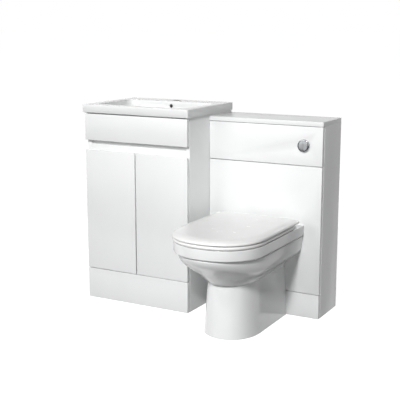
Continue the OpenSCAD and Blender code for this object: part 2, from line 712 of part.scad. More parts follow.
// Nuts under the tank that hold the flush valve and the fill valve
module cistern_nuts() color("white") place() {
    translate([pan_x, flush_y, tank_z - 12]) difference() {
        cylinder(r = tower_r - 2, h = 12, $fn = 12);
        translate([0, 0, -1]) cylinder(r = valve_tail_r + fit, h = 20);
    }
    translate([fill_x, flush_y, tank_z - 10]) difference() {
        cylinder(r = 17, h = 10, $fn = 6);
        translate([0, 0, -1]) cylinder(r = tail_r, h = 14);
    }
}

// Flush pipe: down out of the valve, round a quarter bend and forward into the pan
module pipe_ring() difference() {
    circle(r = pipe_r);
    circle(r = pipe_r - pipe_wall);
}

module flush_pipe() color("white") place() {
    bend_z = inlet_h + pipe_bend;
    pipe_y = flush_y - pipe_bend;
    translate([pan_x, flush_y, bend_z]) linear_extrude(tank_z - 4 - bend_z) pipe_ring();
    translate([pan_x, pipe_y, bend_z]) rotate([90, 0, 90]) rotate([0, 0, -90])
        rotate_extrude(angle = 90) translate([pipe_bend, 0]) pipe_ring();
    translate([pan_x, pipe_y, inlet_h]) rotate([90, 0, 0]) linear_extrude(pipe_y - pan_back + 34) pipe_ring();
}

// Rubber cone that seals the flush pipe in the pan's inlet
module flush_cone() color("dimgray") place() difference() {
    union() {
        rod_y(pan_x, inlet_h, inlet_r - fit, pan_back - 30, pan_back);
        rod_y(pan_x, inlet_h, inlet_r + 6, pan_back, pan_back + 5);
    }
    rod_y(pan_x, inlet_h, pipe_r + fit / 2, pan_back - 31, pan_back + 6);
}

// ---------------------------------------------------------------- flush button

bezel_front = -wc_d - bezel_out;
cap_front = bezel_front - cap_out;
cap_t = 4;
well_floor = -wc_d + 14;               // where the springs stand inside the housing
bore_end = well_floor + 14;            // end of the two air cylinders
button_back = bore_end + 14;
nipple_end = button_back + 9;
stem_x = 9;
spring_turns = 6;

module button_bezel() color("silver") place() difference() {
    union() {
        rod_y(button_x, button_z, bezel_d / 2, bezel_front, -wc_d);
        rod_y(button_x, button_z, body_r, -wc_d - eps, button_back);
        for (s = [-1, 1]) rod_y(button_x + s * stem_x, button_z, 2.6, button_back - eps, nipple_end);
    }
    rod_y(button_x, button_z, cap_r, bezel_front - 1, -wc_d - 2);
    rod_y(button_x, button_z, body_r - 3, -wc_d - 3, well_floor);
    for (s = [-1, 1]) rod_y(button_x + s * stem_x, button_z, 2.8, well_floor - 1, bore_end);
    for (s = [-1, 1]) rod_y(button_x + s * stem_x, button_z, 1.2, bore_end - 1, nipple_end + 1);
}

module button_nut() color("lightgray") place() difference() {
    rod_y(button_x, button_z, 27, -wc_carcass_d, -wc_carcass_d + 7);
    rod_y(button_x, button_z, body_r + fit / 2, -wc_carcass_d - 1, -wc_carcass_d + 8);
}

// One half of the split button: a cap with a plunger that slides in its air cylinder
module button_cap(side) {
    intersection() {
        rod_y(button_x, button_z, cap_r - 0.5, cap_front, cap_front + cap_t);
        translate([side > 0 ? button_x + half_gap / 2 : button_x - 30, cap_front - 1, button_z - 30])
            cube([30 - half_gap / 2, 30, 60]);
    }
    rod_y(button_x + side * stem_x, button_z, 2.5, cap_front + cap_t - 1, bore_end - button_travel - 3);
}

module button_full() color("silver") place() button_cap(1);
module button_half() color("silver") place() button_cap(-1);

// Wound return spring round a plunger, from the cap's back to the well's floor
module button_spring(side) {
    wire = 0.5;
    coil_r = 4.2;
    y0 = cap_front + cap_t + wire + 0.05;
    y1 = well_floor - wire - 0.05;
    steps = spring_turns * 8;
    tube([for (i = [0 : steps]) let (a = 360 * spring_turns * i / steps)
        [button_x + side * stem_x + coil_r * cos(a), y0 + (y1 - y0) * i / steps,
         button_z + coil_r * sin(a)]], wire, 6);
}

module button_spring_full() color("gray") place() button_spring(1);
module button_spring_half() color("gray") place() button_spring(-1);

// Air tubes from the button's nipples over the tank's side to the flush valve
module air_tubes() color("lightblue") place() for (s = [-1, 1]) {
    a = [button_x + s * stem_x, nipple_end, button_z];
    h = tube_hole + [0, s * 7, 0];
    d = [pan_x + tower_nipple_x, flush_y + s * 8, tower_top + 9];
    tube([for (i = [0 : 14]) bezier(a, a + [0, 25, 0], h + [28, 0, 0], h, i / 14),
          for (i = [1 : 14]) bezier(h, h - [50, 0, 0], d + [0, 0, 60], d, i / 14)], 2, 8);
}

// ---------------------------------------------------------------- toilet pan

deck_t = 14;
back_open = 5;                         // the pan's hollow runs out through its open back
pedestal_h = belly_bottom + 12;
pedestal_taper = [(neck_w + 2) / (foot_w / 2), 1 - 14 / foot_proj];

// One row of the underside as a slice: grow is 0 outside and the wall thickness inside
module belly_slice(row, grow)
    slice(belly_in * row[0] - grow, belly_front + row[1] + grow, pan_back + (grow > 0 ? back_open : 0),
          row[2], band_z - row[3]);

module belly(grow) for (part = [[0, 5], [5, len(belly_rows) - 1]])
    hull() for (i = [part[0] : part[1]]) belly_slice(belly_rows[i], grow);

module pedestal(grow) translate([pan_x, pan_back, 0])
    linear_extrude(pedestal_h, scale = pedestal_taper, slices = 1)
        polygon(nose_outline(foot_w / 2 - grow, -foot_proj + grow, grow > 0 ? back_open : 0, 140, nose, 28));

// Hollow under the rim, between the bowl's wall and the outside band
module band_hollow() translate([pan_x, 0, band_z - 1]) linear_extrude(rim_band_h - deck_t + 1)
    polygon(nose_outline(pan_w / 2 - pan_wall, rim_front + pan_wall, pan_back + back_open, 165, nose, 36));

module bowl_hollow(grow) {
    half = pan_w / 2 - rim_w + grow;
    hull() {
        slice(half, rim_front + rim_w - grow, bowl_back + grow, 150, pan_h);
        slice(half, rim_front + rim_w - grow, bowl_back + grow, 150, pan_h - 30);
        slice(118 + grow, rim_front + 94 - grow, bowl_back - 13 + grow, 130, band_z - 43);
        slice(50 + grow, rim_front + 242 - grow, bowl_back - 73 + grow, 60, 150 - grow / 2);
    }
    translate([pan_x, sump[0], sump[1] - grow]) cylinder(r = sump[2] + grow, h = 90);
}

// The waterway: up out of the sump, over the weir and back to the spigot
module trapway(grow, back) {
    from = [sump[0], sump[1] + trap_r + 2];
    run = trap_top - from;
    translate([pan_x, from[0], from[1]]) rotate([-90 + atan2(run[1], run[0]), 0, 0])
        cylinder(r = trap_r + grow, h = norm(run) + grow);
    rod_y(pan_x, outlet_h, outlet_r - spigot_wall + grow, trap_top[0] - 5 - grow, back);
}

module pan() color("white") place() difference() {
    union() {
        difference() {
            union() {
                translate([pan_x, 0, band_z]) linear_extrude(rim_band_h)
                    polygon(nose_outline(pan_w / 2, rim_front, pan_back, 175, nose, 48));
                belly(0);
                pedestal(0);
            }
            band_hollow();
            belly(pan_wall);
            translate([0, 0, -1]) pedestal(pan_wall);
        }
        intersection() {
            bowl_hollow(pan_wall);
            translate([0, -900, 0]) cube([wc_w, 900, pan_h]);
        }
        trapway(spigot_wall + 2, pan_back);
        rod_y(pan_x, outlet_h, outlet_r, pan_back - 1, pan_back + outlet_len);
        rod_y(pan_x, inlet_h, inlet_r + 9, bowl_back - 14, pan_back);
    }
    bowl_hollow(0);
    trapway(0, pan_back + outlet_len + 1);
    rod_y(pan_x, inlet_h, inlet_r, pan_back - 40, pan_back + 1);
    rod_y(pan_x, inlet_h, 20, bowl_back - 30, pan_back);
    for (s = [-1, 1]) translate([pan_x + s * seat_fix_spacing / 2, hinge_axis[0], pan_h - deck_t - 1])
        cylinder(r = seat_fix_r + 1, h = deck_t + 2);
}

floor_bracket_y = -270;
floor_bracket_h = 45;
// outer face of the bracket against the tapering inside of the pedestal
floor_bracket_lean = (1 - pedestal_taper[0]) * floor_bracket_h / pedestal_h;
floor_bracket_x = (foot_w / 2 - pan_wall) * (1 - floor_bracket_lean) - 0.3;
floor_screw_r = 4;
module floor_brackets() color("silver") place() for (s = [-1, 1])
    translate([pan_x, floor_bracket_y, 0]) difference() {
        union() {
            translate([s > 0 ? floor_bracket_x - 3 : -floor_bracket_x, -20, 0])
                cube([3, 40, floor_bracket_h]);
            translate([s > 0 ? floor_bracket_x - 38 : -floor_bracket_x, -20, 0])
                cube([38, 40, 3]);
        }
        translate([s * (floor_bracket_x - 22), 0, -1]) cylinder(r = floor_screw_r, h = 5);
    }

// ---------------------------------------------------------------- seat and lid

post_t = 12;
lug_t = 13;
lug_gap = 0.5;

// Hinge posts on the pan's ledge, with their bolts down through the pan and wing nuts
module seat_hinge_posts() color("silver") place() for (s = [-1, 1])
    translate([pan_x + s * seat_fix_spacing / 2, hinge_axis[0], 0]) difference() {
        union() {
            translate([0, 0, pan_h]) cylinder(r = 15, h = 2);
            translate([-post_t / 2, -7, pan_h]) cube([post_t, 14, hinge_axis[1] - pan_h]);
            rod_x(0, hinge_axis[1], 7, -post_t / 2, post_t / 2);
            translate([0, 0, pan_h - deck_t - 22]) cylinder(r = seat_fix_r, h = deck_t + 23);
            translate([0, 0, pan_h - deck_t - 8]) cylinder(r = 13, h = 8);
        }
        rod_x(0, hinge_axis[1], pin_r + fit / 2, -post_t, post_t);
    }

module seat_hinge_pins() color("silver") place() for (s = [-1, 1]) {
    x = pan_x + s * seat_fix_spacing / 2;
    rod_x(hinge_axis[0], hinge_axis[1], pin_r, x - 21, x + 21);
}

// A knuckle round the hinge pin, on the inner (-1) or outer (1) side of each post
module knuckles(side, r) for (s = [-1, 1]) {
    x = pan_x + s * seat_fix_spacing / 2 + s * side * (post_t / 2 + lug_gap + lug_t / 2);
    rod_x(hinge_axis[0], hinge_axis[1], r, x - lug_t / 2, x + lug_t / 2);
}

seat_back = hinge_axis[0] - 12;
module seat_ring() color("white") place() difference() {
    union() {
        translate([pan_x, 0, seat_z]) linear_extrude(seat_t) difference() {
            polygon(nose_outline(pan_w / 2 + 1, seat_front, seat_back, 178, nose, 60));
            polygon(nose_outline(pan_w / 2 - 68, seat_front + 72, seat_back - 62, 130, 2, 48));
        }
        knuckles(-1, knuckle_r);
        for (s = [-1, 1]) {
            x = pan_x + s * (seat_fix_spacing / 2 - post_t / 2 - lug_gap - lug_t / 2);
            translate([x - lug_t / 2, seat_back - 1, seat_z]) cube([lug_t, 13, seat_t]);
        }
    }
    knuckles(-1, pin_r + 0.08);
}

// The lid: a shallow shell whose back rolls down round the hinge axis
module seat_lid() color("white") place() difference() {
    lid_half = pan_w / 2 + 2;
    union() {
        difference() {
            union() {
                translate([pan_x, 0, lid_z]) linear_extrude(lid_t)
                    polygon(nose_outline(lid_half, lid_front, hinge_axis[0], 180, nose, 60));
                intersection() {
                    rod_x(hinge_axis[0], hinge_axis[1], lid_roll, pan_x - lid_half, pan_x + lid_half);
                    translate([0, hinge_axis[0] - 1, lid_z]) cube([wc_w, 60, 60]);
                }
            }
            translate([pan_x, 0, lid_z - 1]) linear_extrude(lid_t - 4)
                polygon(nose_outline(lid_half - 7, lid_front + 7, hinge_axis[0] + 12, 174, nose, 48));
            for (s = [-1, 1]) translate([pan_x + s * seat_fix_spacing / 2 - 16, hinge_axis[0], lid_z - 1])
                cube([32, 30, 11]);
        }
        knuckles(1, knuckle_r);
        for (s = [-1, 1]) {
            x = pan_x + s * (seat_fix_spacing / 2 + post_t / 2 + lug_gap + lug_t / 2);
            translate([x - lug_t / 2, hinge_axis[0] - knuckle_r, hinge_axis[1]])
                cube([lug_t, 2 * knuckle_r, lid_z + lid_t - 2 - hinge_axis[1]]);
        }
    }
    knuckles(1, pin_r + 0.08);
}

buffer_r = 7;
buffer_spots = [[-1, -420], [1, -420], [-1, -640], [1, -640]];
function buffer_x(y) = pan_w / 2 - (y < -600 ? 62 : 32);
module seat_buffers() color("lightgray") place() for (p = buffer_spots)
    translate([pan_x + p[0] * buffer_x(p[1]), p[1], pan_h]) cylinder(r = buffer_r, h = seat_buffer_t);
module lid_buffers() color("lightgray") place() for (p = buffer_spots)
    translate([pan_x + p[0] * buffer_x(p[1]), p[1], seat_z + seat_t])
        cylinder(r = buffer_r - 2, h = lid_z + lid_t - 5 - seat_z - seat_t);

// ---------------------------------------------------------------- nodes

vanity_side_left();
vanity_side_right();
vanity_bottom_board();
vanity_back_rails();
vanity_front_rail();
vanity_fascia();
vanity_plinth();
vanity_shelf();
shelf_pins();
vanity_cams();
vanity_wall_brackets();
door_left();
door_right();
door_buffers();
hinge_cups_left();
hinge_cups_right();
hinge_arms_left();
hinge_arms_right();
hinge_links_left();
hinge_links_right();
joining_bolts();
basin();
wc_side_left();
wc_side_right();
wc_worktop();
access_panel();
lower_panel();
wc_plinth();
wc_top_rails();
wc_front_rails();
wc_back_rails();
cistern_shelf();
panel_clips();
wc_cams();
wc_wall_brackets();
cistern_tank();
cistern_lid();
fill_valve();
float();
flush_valve();
flush_tower();
flush_plug();
cistern_nuts();
flush_pipe();
flush_cone();
button_bezel();
button_nut();
button_full();
button_half();
button_spring_full();
button_spring_half();
air_tubes();
pan();
floor_brackets();
seat_hinge_posts();
seat_hinge_pins();
seat_ring();
seat_lid();
seat_buffers();
lid_buffers();
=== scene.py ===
"""Toilet and basin combination unit: visual pieces, finishes, studio and camera.

Lengths are written in millimetres in the wall frame: x is 0 where the two cabinets meet, y is 0 at the
wall and negative towards the room, z is 0 on the floor. The function at() carries them into the model's
frame in metres.
"""
import logging
import math
from abc import ABC, abstractmethod
from dataclasses import dataclass, field
from enum import Enum

import bmesh
import bpy
from mathutils import Matrix, Vector


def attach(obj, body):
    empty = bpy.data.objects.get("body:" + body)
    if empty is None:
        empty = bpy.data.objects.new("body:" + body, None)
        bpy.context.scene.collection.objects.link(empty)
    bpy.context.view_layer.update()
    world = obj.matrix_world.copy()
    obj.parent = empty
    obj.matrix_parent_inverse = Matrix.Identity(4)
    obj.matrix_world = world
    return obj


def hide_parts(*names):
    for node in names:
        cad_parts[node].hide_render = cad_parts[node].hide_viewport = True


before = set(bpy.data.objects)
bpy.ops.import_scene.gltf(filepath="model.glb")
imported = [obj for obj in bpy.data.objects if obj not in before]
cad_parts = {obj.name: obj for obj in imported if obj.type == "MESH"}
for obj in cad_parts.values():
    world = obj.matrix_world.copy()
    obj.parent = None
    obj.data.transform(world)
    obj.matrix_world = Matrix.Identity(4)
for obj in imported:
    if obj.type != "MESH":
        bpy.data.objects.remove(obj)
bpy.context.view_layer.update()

log = logging.getLogger("scene")

MM = 0.001
SHIFT_X = 2.0
SHIFT_Y = 375.0

Point = tuple[float, float]
Point3 = tuple[float, float, float]
Solid = bpy.types.Object
Material = bpy.types.Material
Tree = bpy.types.NodeTree
Node = bpy.types.Node


class Body(Enum):
    """The moving bodies that the new pieces ride on."""
    UNIT = "unit"
    DOOR_LEFT = "door_left"
    DOOR_RIGHT = "door_right"
    LID = "lid"
    SEAT = "seat"
    BUTTON_FULL = "button_full"
    BUTTON_HALF = "button_half"


class Slot(Enum):
    """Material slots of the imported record."""
    BOARD = "board"
    CERAMIC = "ceramic"
    SEAT = "seat_plastic"
    CHROME = "chrome"


class Axis(Enum):
    """Direction of a round piece's centre line."""
    X = (0.0, math.pi / 2, 0.0)
    Y = (math.pi / 2, 0.0, 0.0)
    Z = (0.0, 0.0, 0.0)


class Mode(Enum):
    """What combine() does with the other solids."""
    CUT = "DIFFERENCE"
    ADD = "UNION"


# ---- colour and shader nodes


def at(x: float, y: float, z: float) -> Vector:
    """Carries a wall-frame point in millimetres into the model's frame in metres."""
    return Vector(((x + SHIFT_X) * MM, (y + SHIFT_Y) * MM, z * MM))


def linear(code: str) -> tuple[float, float, float, float]:
    """Turns an sRGB hex colour into the linear values that shader sockets take.

    Args:
        code: six hex digits with a leading hash.

    Returns:
        Linear red, green and blue, with an alpha of 1.
    """
    parts = [int(code[i:i + 2], 16) / 255 for i in (1, 3, 5)]
    light = [p / 12.92 if p <= 0.04045 else ((p + 0.055) / 1.055) ** 2.4 for p in parts]
    return (light[0], light[1], light[2], 1.0)


def add_node(tree: Tree, kind: str, settings: dict | None = None, values: dict | None = None,
             links: dict | None = None) -> Node:
    """Adds one shader node with its settings, socket values and incoming links.

    Args:
        tree: node tree to add to.
        kind: node type name, without its leading ShaderNode.
        settings: node properties by name.
        values: socket values by socket name or index.
        links: for a socket name or index, the (node, output) that feeds it.

    Returns:
        The new node.
    """
    made = tree.nodes.new(f"ShaderNode{kind}")
    for key, value in (settings or {}).items():
        setattr(made, key, value)
    for key, value in (values or {}).items():
        made.inputs[key].default_value = value
    for key, (source, output) in (links or {}).items():
        tree.links.new(source.outputs[output], made.inputs[key])
    return made


def new_material(name: str) -> tuple[Material, Tree]:
    """Makes a material with an empty node tree.

    Args:
        name: material name.

    Returns:
        The material and its tree.
    """
    material = bpy.data.materials.new(name)
    material.use_nodes = True
    material.node_tree.nodes.clear()
    return material, material.node_tree


@dataclass(frozen=True)
class Finish(ABC):
    """One material, built from what the real one is.

    Attributes:
        name: material name.
        base: sRGB colour.
        rough: mean roughness.
    """
    name: str
    base: str
    rough: float

    def build(self) -> Material:
        """Makes the node material.

        Returns:
            The finished material.
        """
        material, tree = new_material(self.name)
        shader = self.shade(tree, add_node(tree, "TexCoord"))
        add_node(tree, "OutputMaterial", links={"Surface": (shader, 0)})
        return material

    @abstractmethod
    def shade(self, tree: Tree, place: Node) -> Node:
        """Adds the finish's own nodes and returns its surface shader."""

    def noise(self, tree: Tree, place: Node, size_mm: float, detail: float = 3.0,
              stretch: Point3 = (1.0, 1.0, 1.0)) -> Node:
        """Adds noise whose blotches are about size_mm wide.

        Args:
            tree: node tree.
            place: texture coordinate node.
            size_mm: width of one blotch in millimetres.
            detail: noise octaves.
            stretch: how much finer the noise is along each axis.

        Returns:
            The noise node.
        """
        scaled = add_node(tree, "Mapping", values={"Scale": stretch},
                          links={"Vector": (place, "Object")})
        return add_node(tree, "TexNoise",
                        values={"Scale": 1000 / size_mm, "Detail": detail, "Roughness": 0.55},
                        links={"Vector": (scaled, 0)})

    def spread(self, tree: Tree, source: Node, low: float, high: float) -> Node:
        """Carries a noise factor into the range low to high."""
        return add_node(tree, "MapRange",
                        values={"From Min": 0.3, "From Max": 0.7, "To Min": low, "To Max": high},
                        links={"Value": (source, 0)})

    def tone(self, tree: Tree, source: Node, other: str) -> Node:
        """Blends the base colour towards another by a noise factor."""
        return add_node(tree, "Mix", {"data_type": "RGBA"},
                        {"A": linear(self.base), "B": linear(other)}, {"Factor": (source, 0)})

    def bump(self, tree: Tree, source: Node, height_mm: float) -> Node:
        """Turns a noise factor into relief of height_mm."""
        return add_node(tree, "Bump", values={"Strength": 1.0, "Distance": height_mm * MM},
                        links={"Height": (source, 0)})

    def surface(self, tree: Tree, colour: Node, rough: Node, relief: Node, values: dict) -> Node:
        """Adds the surface shader fed by a colour blend, a roughness range and a relief."""
        links = {"Base Color": (colour, "Result"), "Roughness": (rough, 0), "Normal": (relief, 0)}
        return add_node(tree, "BsdfPrincipled", values=values, links=links)


@dataclass(frozen=True)
class GlossBoard(Finish):
    """MDF and chipboard wrapped in high-gloss white foil.

    The press leaves a shallow orange peel about 4 mm across, so a lamp's edge wavers in it; the foil's tone
    is even, and handling leaves barely duller patches a hand wide.

    Attributes:
        shade_colour: the slightly greyer tone of the patches.
        gloss: strength of the clear top layer.
        peel_mm: height of the orange peel.
    """
    shade_colour: str = "#eeefef"
    gloss: float = 0.1
    peel_mm: float = 0.004

    def shade(self, tree: Tree, place: Node) -> Node:
        """Adds foil colour, patchy roughness, orange peel and a clear layer."""
        patches = self.noise(tree, place, 120.0)
        peel = self.noise(tree, place, 4.0, 1.0)
        colour = self.tone(tree, patches, self.shade_colour)
        rough = self.spread(tree, patches, self.rough * 0.9, self.rough * 1.15)
        relief = self.bump(tree, peel, self.peel_mm)
        return self.surface(tree, colour, rough, relief,
                            {"IOR": 1.5, "Coat Weight": self.gloss, "Coat Roughness": 0.06})


@dataclass(frozen=True)
class VitreousChina(Finish):
    """Vitreous china under a thick fired glaze.

    The glaze pools and thins over spans of 30 mm or so, which bends reflections softly, and pinholes and
    dust show as specks finer than a millimetre.

    Attributes:
        pooled: the colour where the glaze lies thicker.
    """
    pooled: str = "#f0f1f1"

    def shade(self, tree: Tree, place: Node) -> Node:
        """Adds glaze colour, specks, slow waves and a hard clear layer."""
        pools = self.noise(tree, place, 90.0, 2.0)
        waves = self.noise(tree, place, 28.0, 1.0)
        specks = self.noise(tree, place, 0.8, 2.0)
        colour = self.tone(tree, pools, self.pooled)
        rough = self.spread(tree, specks, self.rough * 0.85, self.rough * 1.3)
        relief = self.bump(tree, waves, 0.02)
        return self.surface(tree, colour, rough, relief,
                            {"IOR": 1.5, "Coat Weight": 0.15, "Coat Roughness": 0.025})


@dataclass(frozen=True)
class MouldedPlastic(Finish):
    """Pressed or injection-moulded plastic.

    A moulding keeps the tool's fine spark texture and slow sink marks; a polished tool leaves neither.

    Attributes:
        drift: second tone of the pigment.
        grain_mm: size of the tool texture.
        grain_high_mm: its height.
        gloss: strength of the clear top layer.
    """
    drift: str = "#eeeeec"
    grain_mm: float = 0.8
    grain_high_mm: float = 0.006
    gloss: float = 0.0

    def shade(self, tree: Tree, place: Node) -> Node:
        """Adds pigment drift, tool texture and sheen."""
        slow = self.noise(tree, place, 60.0)
        fine = self.noise(tree, place, self.grain_mm, 2.0)
        colour = self.tone(tree, slow, self.drift)
        rough = self.spread(tree, slow, self.rough * 0.9, self.rough * 1.15)
        relief = self.bump(tree, fine, self.grain_high_mm)
        return self.surface(tree, colour, rough, relief,
                            {"IOR": 1.5, "Coat Weight": self.gloss, "Coat Roughness": 0.05})


@dataclass(frozen=True)
class Metal(Finish):
    """Plated or bare metal.

    Plating copies the polish beneath it: fine lines along the drawing direction and a haze of finger marks.

    Attributes:
        stain: colour of the duller patches.
        line_mm: spacing of the polishing lines.
        line_high_mm: height of the lines.
        along: how much finer the lines are along each axis.
    """
    stain: str = "#c9cbcc"
    line_mm: float = 0.5
    line_high_mm: float = 0.0015
    along: Point3 = (1.0, 1.0, 1.0)

    def shade(self, tree: Tree, place: Node) -> Node:
        """Adds metal colour, smudges and polishing lines."""
        smudge = self.noise(tree, place, 14.0)
        lines = self.noise(tree, place, self.line_mm, 1.0, self.along)
        colour = self.tone(tree, smudge, self.stain)
        rough = self.spread(tree, smudge, self.rough * 0.7, self.rough * 1.5)
        relief = self.bump(tree, lines, self.line_high_mm)
        return self.surface(tree, colour, rough, relief, {"Metallic": 1.0})


# ---- modelling


def only(piece: Solid) -> None:
    """Makes piece the only selected and the active object."""
    bpy.ops.object.select_all(action="DESELECT")
    piece.select_set(True)
    bpy.context.view_layer.objects.active = piece


def settle(piece: Solid) -> None:
    """Moves the piece's place, turn and size into its mesh."""
    only(piece)
    bpy.ops.object.transform_apply(location=True, rotation=True, scale=True)


def block(name: str, low: Point3, high: Point3) -> Solid:
    """Adds a box between two wall-frame corners.

    Args:
        name: object name.
        low: lowest corner in millimetres.
        high: highest corner in millimetres.

    Returns:
        The box, settled at the origin.
    """
    a, b = at(*low), at(*high)
    bpy.ops.mesh.primitive_cube_add(size=1.0, location=(a + b) / 2, scale=b - a)
    piece = bpy.context.object
    piece.name = name
    settle(piece)
    return piece


def rod(name: str, middle: Point3, radius: float, length: float, axis: Axis, sides: int = 96) -> Solid:
    """Adds a cylinder about its wall-frame middle.

    Args:
        name: object name.
        middle: centre in millimetres.
        radius: radius in millimetres.
        length: full length in millimetres.
        axis: direction of the centre line.
        sides: facets round it.

    Returns:
        The cylinder, settled at the origin.
    """
    bpy.ops.mesh.primitive_cylinder_add(vertices=sides, radius=radius * MM, depth=length * MM,
                                        location=at(*middle), rotation=axis.value)
    piece = bpy.context.object
    piece.name = name
    settle(piece)
    return piece


def combine(piece: Solid, mode: Mode, *others: Solid) -> None:
    """Cuts other solids from a piece, or adds them, one after another, and removes them.

    Args:
        piece: object that is changed.
        mode: what to do with the others.
        others: objects that are used up.
    """
    for other in others:
        only(piece)
        change = piece.modifiers.new("combine", "BOOLEAN")
        change.operation = mode.value
        change.solver = "EXACT"
        change.object = other
        bpy.ops.object.modifier_apply(modifier=change.name)
        bpy.data.objects.remove(other, do_unlink=True)


def round_edges(piece: Solid, width: float, steps: int = 3, angle: float = 40.0) -> None:
    """Rounds the piece's sharp edges.

    Args:
        piece: object to round.
        width: width of the rounding in millimetres.
        steps: facets across it.
        angle: edges sharper than this many degrees are rounded.
    """
    only(piece)
    change = piece.modifiers.new("rounding", "BEVEL")
    change.width = width * MM
    change.segments = steps
    change.limit_method = "ANGLE"
    change.angle_limit = math.radians(angle)
    bpy.ops.object.modifier_apply(modifier=change.name)


def smooth(piece: Solid, angle: float = 35.0) -> None:
    """Shades faces smooth where they meet at less than an angle in degrees."""
    only(piece)
    bpy.ops.object.shade_smooth_by_angle(angle=math.radians(angle))


def loft(name: str, rings: list[list[Point3]], hoop: bool = False) -> Solid:
    """Skins rings of equal length into one closed solid.

    Args:
        name: object name.
        rings: wall-frame points in millimetres, one list a ring.
        hoop: whether the last ring joins the first, instead of a fan at each end.

    Returns:
        The solid.
    """
    shape = bmesh.new()
    rows = [[shape.verts.new(at(*p)) for p in ring] for ring in rings]
    count = len(rows[0])
    for lower, upper in zip(rows, rows[1:] + rows[:1] if hoop else rows[1:]):
        for i in range(count):
            j = (i + 1) % count
            shape.faces.new((lower[i], lower[j], upper[j], upper[i]))
    for row in () if hoop else (rows[0], rows[-1]):
        middle = shape.verts.new(sum((v.co for v in row), Vector()) / count)
        for i in range(count):
            shape.faces.new((row[i], row[(i + 1) % count], middle))
    bmesh.ops.recalc_face_normals(shape, faces=shape.faces)
    mesh = bpy.data.meshes.new(name)
    shape.to_mesh(mesh)
    shape.free()
    piece = bpy.data.objects.new(name, mesh)
    bpy.context.scene.collection.objects.link(piece)
    return piece


def node_copy(node: str, name: str) -> Solid:
    """Copies a CAD node's mesh as a clean solid that can be rounded.

    Args:
        node: CAD node to copy.
        name: name of the copy.

    Returns:
        The copy, with its triangles merged into flat faces.
    """
    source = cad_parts[node]
    piece = bpy.data.objects.new(name, source.data.copy())
    bpy.context.scene.collection.objects.link(piece)
    piece.data.materials.clear()
    only(piece)
    bpy.ops.object.mode_set(mode="EDIT")
    bpy.ops.mesh.select_all(action="SELECT")
    bpy.ops.mesh.remove_doubles(threshold=0.00001)
    bpy.ops.mesh.dissolve_limited(angle_limit=math.radians(1.0))
    bpy.ops.mesh.customdata_custom_splitnormals_clear()
    bpy.ops.object.mode_set(mode="OBJECT")
    return piece


# ---- outlines

PAN_X = 250.0  # x of the middle of pan and seat
NOSE_STEPS = 96
SIDE_STEPS = 10
CORNER_STEPS = 6
REAR_STEPS = 24


def quarter(steps: int) -> list[Point]:
    """Walks a quarter circle of radius 1 from its foot to its crown.

    Args:
        steps: facets on the way.

    Returns:
        How far in from the foot, and how high, each point is.
    """
    turns = [math.pi / 2 * i / steps for i in range(steps + 1)]
    return [(1 - math.cos(turn), math.sin(turn)) for turn in turns]


@dataclass(frozen=True)
class Plan(ABC):
    """Closed line seen from above, about x 0.

    Attributes:
        half_w: half the width.
        front: y of the foremost point.
        back: y of the rearmost point.
        nose: length over which the front closes in.
    """
    half_w: float
    front: float
    back: float
    nose: float

    @abstractmethod
    def points(self) -> list[Point]:
        """Returns the plan's points, front first."""

    def bow(self, power: float) -> list[Point]:
        """Returns the rounded front from right to left: power 2 makes an ellipse, more is blunter."""
        points = []
        for i in range(NOSE_STEPS + 1):
            turn = math.pi * i / NOSE_STEPS
            c, s = math.cos(turn), max(math.sin(turn), 0.0)
            x = self.half_w * math.copysign(abs(c) ** (2 / power), c)
            points.append((x, self.front + self.nose * (1 - s ** (2 / power))))
        return points

    def ring(self, z: float) -> list[Point3]:
        """Returns the plan at a height, about the pan's centre line."""
        return [(PAN_X + x, y, z) for x, y in self.points()]


@dataclass(frozen=True)
class Outline(Plan):
    """Plan of the pan, seat or lid: a blunt front, straight sides and a straight back.

    Attributes:
        corner: radius of the rear corners.
        power: bluntness of the front.
    """
    corner: float = 4.0
    power: float = 2.2

    def inset(self, by: float, back: float | None = None) -> "Outline":
        """Returns the outline moved inwards, its rear edge moved only where back says."""
        rear = self.back if back is None else back
        return Outline(self.half_w - by, self.front + by, rear, self.nose - by * 0.4, self.corner, self.power)

    def points(self) -> list[Point]:
        """Returns the front, the left side, the rear and the right side."""
        plan = self.bow(self.power)
        side_from = self.front + self.nose
        side_to = self.back - self.corner
        left = [(-self.half_w, side_from + (side_to - side_from) * i / SIDE_STEPS)
                for i in range(1, SIDE_STEPS + 1)]
        turn = [(-self.half_w + self.corner * inward, side_to + self.corner * up)
                for inward, up in quarter(CORNER_STEPS)[1:]]
        inner = self.half_w - self.corner
        rear = [(-inner + 2 * inner * i / REAR_STEPS, self.back) for i in range(1, REAR_STEPS)]
        return plan + left + turn + rear + [(-x, y) for x, y in reversed(left + turn)]


@dataclass(frozen=True)
class Egg(Plan):
    """Plan of the bowl and of the seat's opening: a long rounded front and a shorter rounded rear.

    Attributes:
        power: bluntness of both ends.
    """
    power: float = 2.3

    def inset(self, by: float) -> "Egg":
        """Returns the plan moved inwards all round."""
        return Egg(self.half_w - by, self.front + by, self.back - by, self.nose - by, self.power)

    def points(self) -> list[Point]:
        """Returns as many points as an Outline has, in the same order."""
        plan = self.bow(self.power)
        rest = 2 * (SIDE_STEPS + CORNER_STEPS) + REAR_STEPS
        middle = self.front + self.nose
        for i in range(1, rest):
            turn = math.pi * i / rest
            c, s = math.cos(turn), math.sin(turn)
            x = -self.half_w * math.copysign(abs(c) ** (2 / self.power), c)
            plan.append((x, middle + (self.back - middle) * s ** (2 / self.power)))
        return plan


